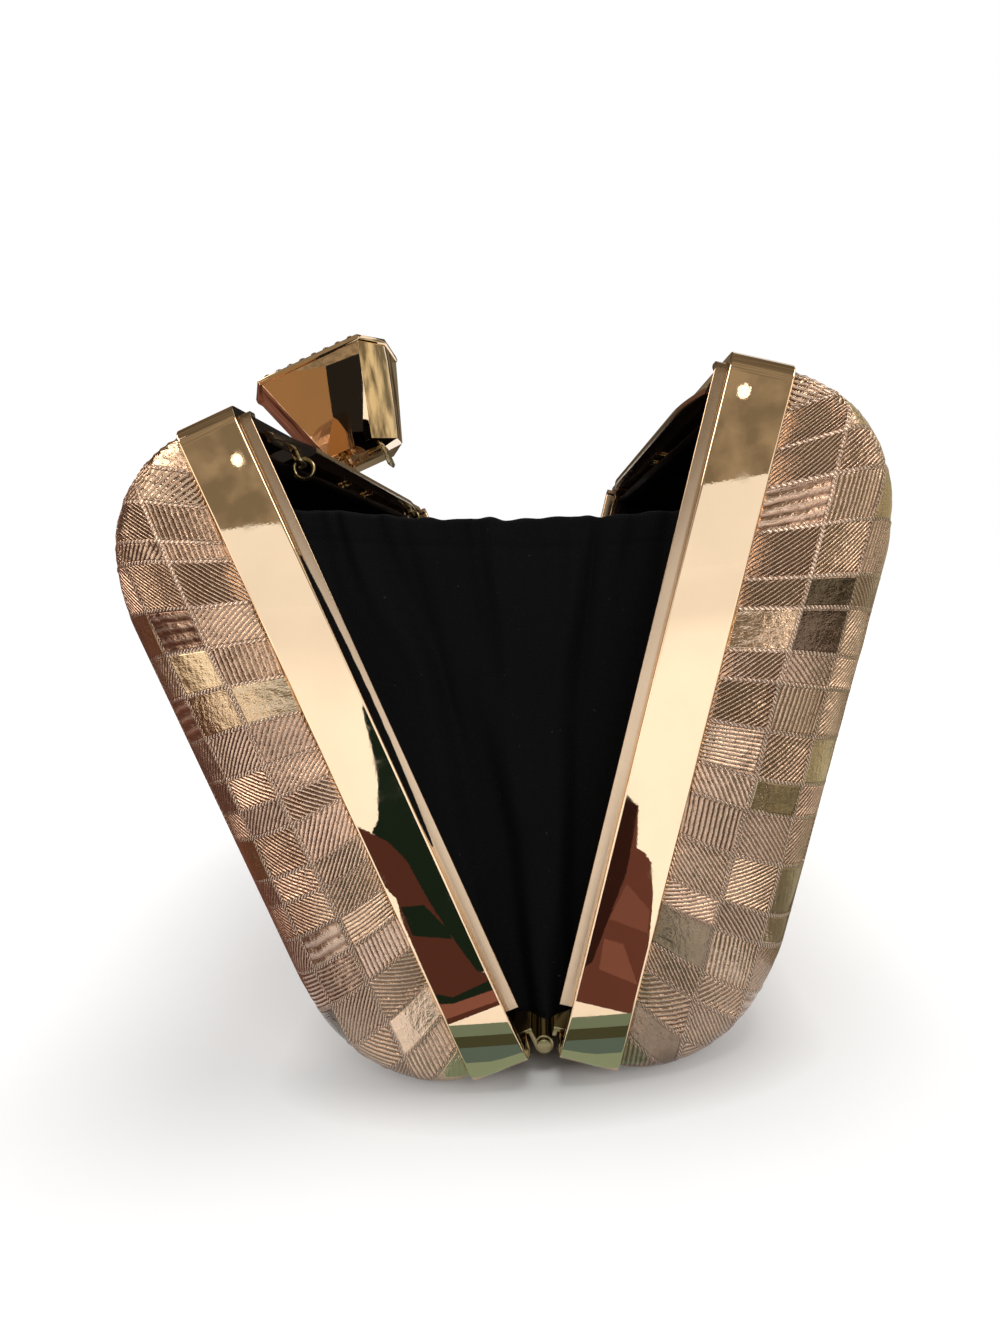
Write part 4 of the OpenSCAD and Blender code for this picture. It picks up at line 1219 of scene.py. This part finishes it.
# %% Cards before the near end
DARK, BROWN, PINK = (0.010, 0.020, 0.014), (0.13, 0.050, 0.040), (0.24, 0.10, 0.08)
LAYER_STEP, PAPER_LAYER, PAPER_ACROSS = 0.0004, 0.002, 13
CARDS = (
    # name, half, layer, colour, corners on the band
    ("green_black_cloth", FRONT, 1, DARK, (
        (0.4, 56), (1.3, 51.5), (2.3, 45.5), (4.8, 40.5), (6.8, 39), (5.3, 37), (3.9, 33.5), (3.4, 27),
        (2.7, 22), (1.3, 15), (-1, 15), (-1, 57),
    )),
    ("brown_cloth", FRONT, 2, (0.085, 0.032, 0.025), (
        (9.5, 41.5), (7.1, 39), (5.3, 37), (3.9, 33.5), (3.4, 27), (2.7, 22), (1.3, 15), (-1, 14),
        (-1, 9.3), (9.5, 9.3), (8.6, 13.5), (8.4, 22), (8.4, 26), (7.8, 29), (9.5, 33),
    )),
    ("fold_shadow", FRONT, 3, DARK, ((7.8, 27.5), (4.4, 26.5), (2.7, 22), (2.7, 20.5), (7.9, 23))),
    ("fold_line", FRONT, 3, DARK, ((8.6, 14), (6.3, 12.5), (-1, 13), (-1, 11.5), (6.7, 11.5), (8.7, 12.5))),
    ("fold_light", FRONT, 4, PINK, ((9.5, 12.2), (6.8, 11.3), (-1, 11), (-1, 9.3), (9.5, 9.5))),
    ("brown_cloth_two", BACK, 1, BROWN, (
        (-1, 39), (2, 38.7), (3.3, 33), (4.6, 32.6), (6, 31.3), (7.5, 26.5), (8.3, 21), (8.9, 16.5),
        (9.2, 12.5), (9.5, 9.3), (-1, 9.3),
    )),
    ("cloth_edge", BACK, 2, (0.03, 0.012, 0.010), (
        (-1, 40), (2, 38.4), (2.8, 29), (2.1, 23), (1.2, 15), (-1, 13),
    )),
    ("soft_light", BACK, 3, (0.19, 0.078, 0.062), ((3.3, 27), (7.6, 24), (8.1, 20.6), (2.1, 21.4))),
    ("soft_light_two", BACK, 3, (0.21, 0.09, 0.07), ((2.1, 18.4), (5, 18.3), (8.5, 13), (2.5, 14))),
)
for name, side, layer, colour, corners in CARDS:
    card = patch([seen_in_band(side, *c) for c in corners])
    mirror_only(name, card, colour, place=(0, 0, LAYER_STEP * layer))
PAPERS = (
    # name, upper and lower edge on the bands, colour
    ("green_paper", 9.5, 7.6, (0.17, 0.24, 0.19)),
    ("olive_paper", 7.6, 5.8, (0.06, 0.07, 0.04)),
    ("teal_paper", 5.8, 3.4, (0.10, 0.16, 0.16)),
    ("pale_green_paper", 3.4, 0.0, (0.24, 0.33, 0.25)),
)
for name, high, low, colour in PAPERS:
    places = ((FRONT, high), (BACK, high), (BACK, low), (FRONT, low))
    card = patch([seen_in_band(side, PAPER_ACROSS, up) for side, up in places])
    mirror_only(name, card, colour, place=(0, 0, PAPER_LAYER))
CARD_Y = -0.06
TAN_CORNERS = ((-0.075, 0.085), (-0.042, 0.085), (-0.040, 0.125), (-0.075, 0.125))
BLACK_CORNERS = ((-0.042, 0.085), (-0.02, 0.085), (-0.02, 0.13), (-0.04, 0.125))
HANGING = (
    ("tan_card", (0.34, 0.21, 0.105), TAN_CORNERS),
    ("black_card", (0.019, 0.018, 0.018), BLACK_CORNERS),
)
for name, colour, corners in HANGING:
    mirror_only(name, patch([(across, CARD_Y, up) for across, up in corners]), colour)
print("cards before the near end:", len(CARDS) + len(PAPERS) + len(HANGING))

# %% [markdown]
# The covers bulge to both sides, so they mirror the floor and the walls all round. Each stretch of the room
# is a card too: a profile that runs out along the floor and up a wall, turned between two headings off the
# near end. Brown and dark stretches alternate with cream ones, which gives each cover its dark and light
# zones, and two bright windows stand high up. The ceiling and the wall behind are dark, because the frames'
# flat tops would otherwise turn white. Two tiny glowing balls, seen only in the metal, make the sharp spots
# of light near the top of the bands: painted highlights, as the real lamps don't show in the metal.

# %% Walls, windows and ceiling
FLOOR_OUT = [(0.05, 0.0004), (0.4, 0.0004), (0.7, 0.0004), (0.7, 0.035)]
FLOOR_FAR = [(0.14, 0.0004), (0.4, 0.0004), (0.7, 0.0004), (0.7, 0.035)]
LOW_WALL = [(0.7, 0.035), (0.7, 0.26)]
WHOLE_WALL = [(0.05, 0.0004), (0.4, 0.0004), (0.7, 0.0004), (0.7, 0.45)]
HIGH_WINDOW = [(0.70, 0.42), (0.60, 0.62)]
BACK_WALL = [(0.9, 0.0004), (0.9, 0.5), (0.8, 0.9), (0.3, 1.05)]
ROOM = (
    # name, profile, headings, colour
    ("red_brown_corner", WHOLE_WALL, -168, -84, (0.14, 0.060, 0.042)),
    ("brown_green_floor", FLOOR_OUT, -84, -70, (0.42, 0.36, 0.26)),
    ("cream_floor", FLOOR_FAR, -70, -30, (1.60, 1.38, 1.18)),
    ("pink_wall", LOW_WALL, -84, -34, (1.90, 1.62, 1.40)),
    ("left_window", HIGH_WINDOW, -110, -46, (5.2, 4.5, 3.8)),
    ("right_window", HIGH_WINDOW, 46, 110, (4.8, 4.25, 3.7)),
    ("rose_floor", FLOOR_FAR, 30, 60, (1.00, 0.87, 0.76)),
    ("dark_floor", FLOOR_OUT, 60, 84, (0.075, 0.058, 0.045)),
    ("khaki_floor", FLOOR_OUT, 84, 100, (0.40, 0.34, 0.24)),
    ("pale_wall", LOW_WALL, 34, 100, (1.40, 1.25, 1.12)),
    ("olive_corner", WHOLE_WALL, 100, 160, (0.50, 0.45, 0.30)),
    ("back_wall", BACK_WALL, 160, 252, (0.12, 0.095, 0.06)),
)
for name, profile, start, stop, colour in ROOM:
    stretch = turned_profile(profile, start, stop, steps=16)
    mirror_only(name, stretch, colour, place=(0, -CASE_L / 2000, 0), mottle=0.6)
ceiling = patch([(-1.5, -1.2, 1.2), (1.5, -1.2, 1.2), (1.5, 1, 1.2), (-1.5, 1, 1.2)])
mirror_only("dark_ceiling", ceiling, (0.16, 0.13, 0.09), mottle=0.3)
# Glowing balls that only mirror rays see: painted highlights on the bands, as the real lamps don't show in
# the metal.
SPOT_R, SPOT_COLOUR = 0.0045, (2.6, 2.4, 2.1)
SPOTS = (("small_lamp", (0.1445, -0.581, 0.175)), ("small_lamp_two", (-0.1806, -0.572, 0.163)))
for name, spot in SPOTS:
    ball = bmesh.new()
    bmesh.ops.create_uvsphere(ball, u_segments=16, v_segments=8, radius=SPOT_R)
    mirror_only(name, ball, SPOT_COLOUR, place=spot)
print("stretches of the room:", len(ROOM))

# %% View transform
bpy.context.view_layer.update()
scene = bpy.context.scene
scene.view_settings.view_transform = "Standard"
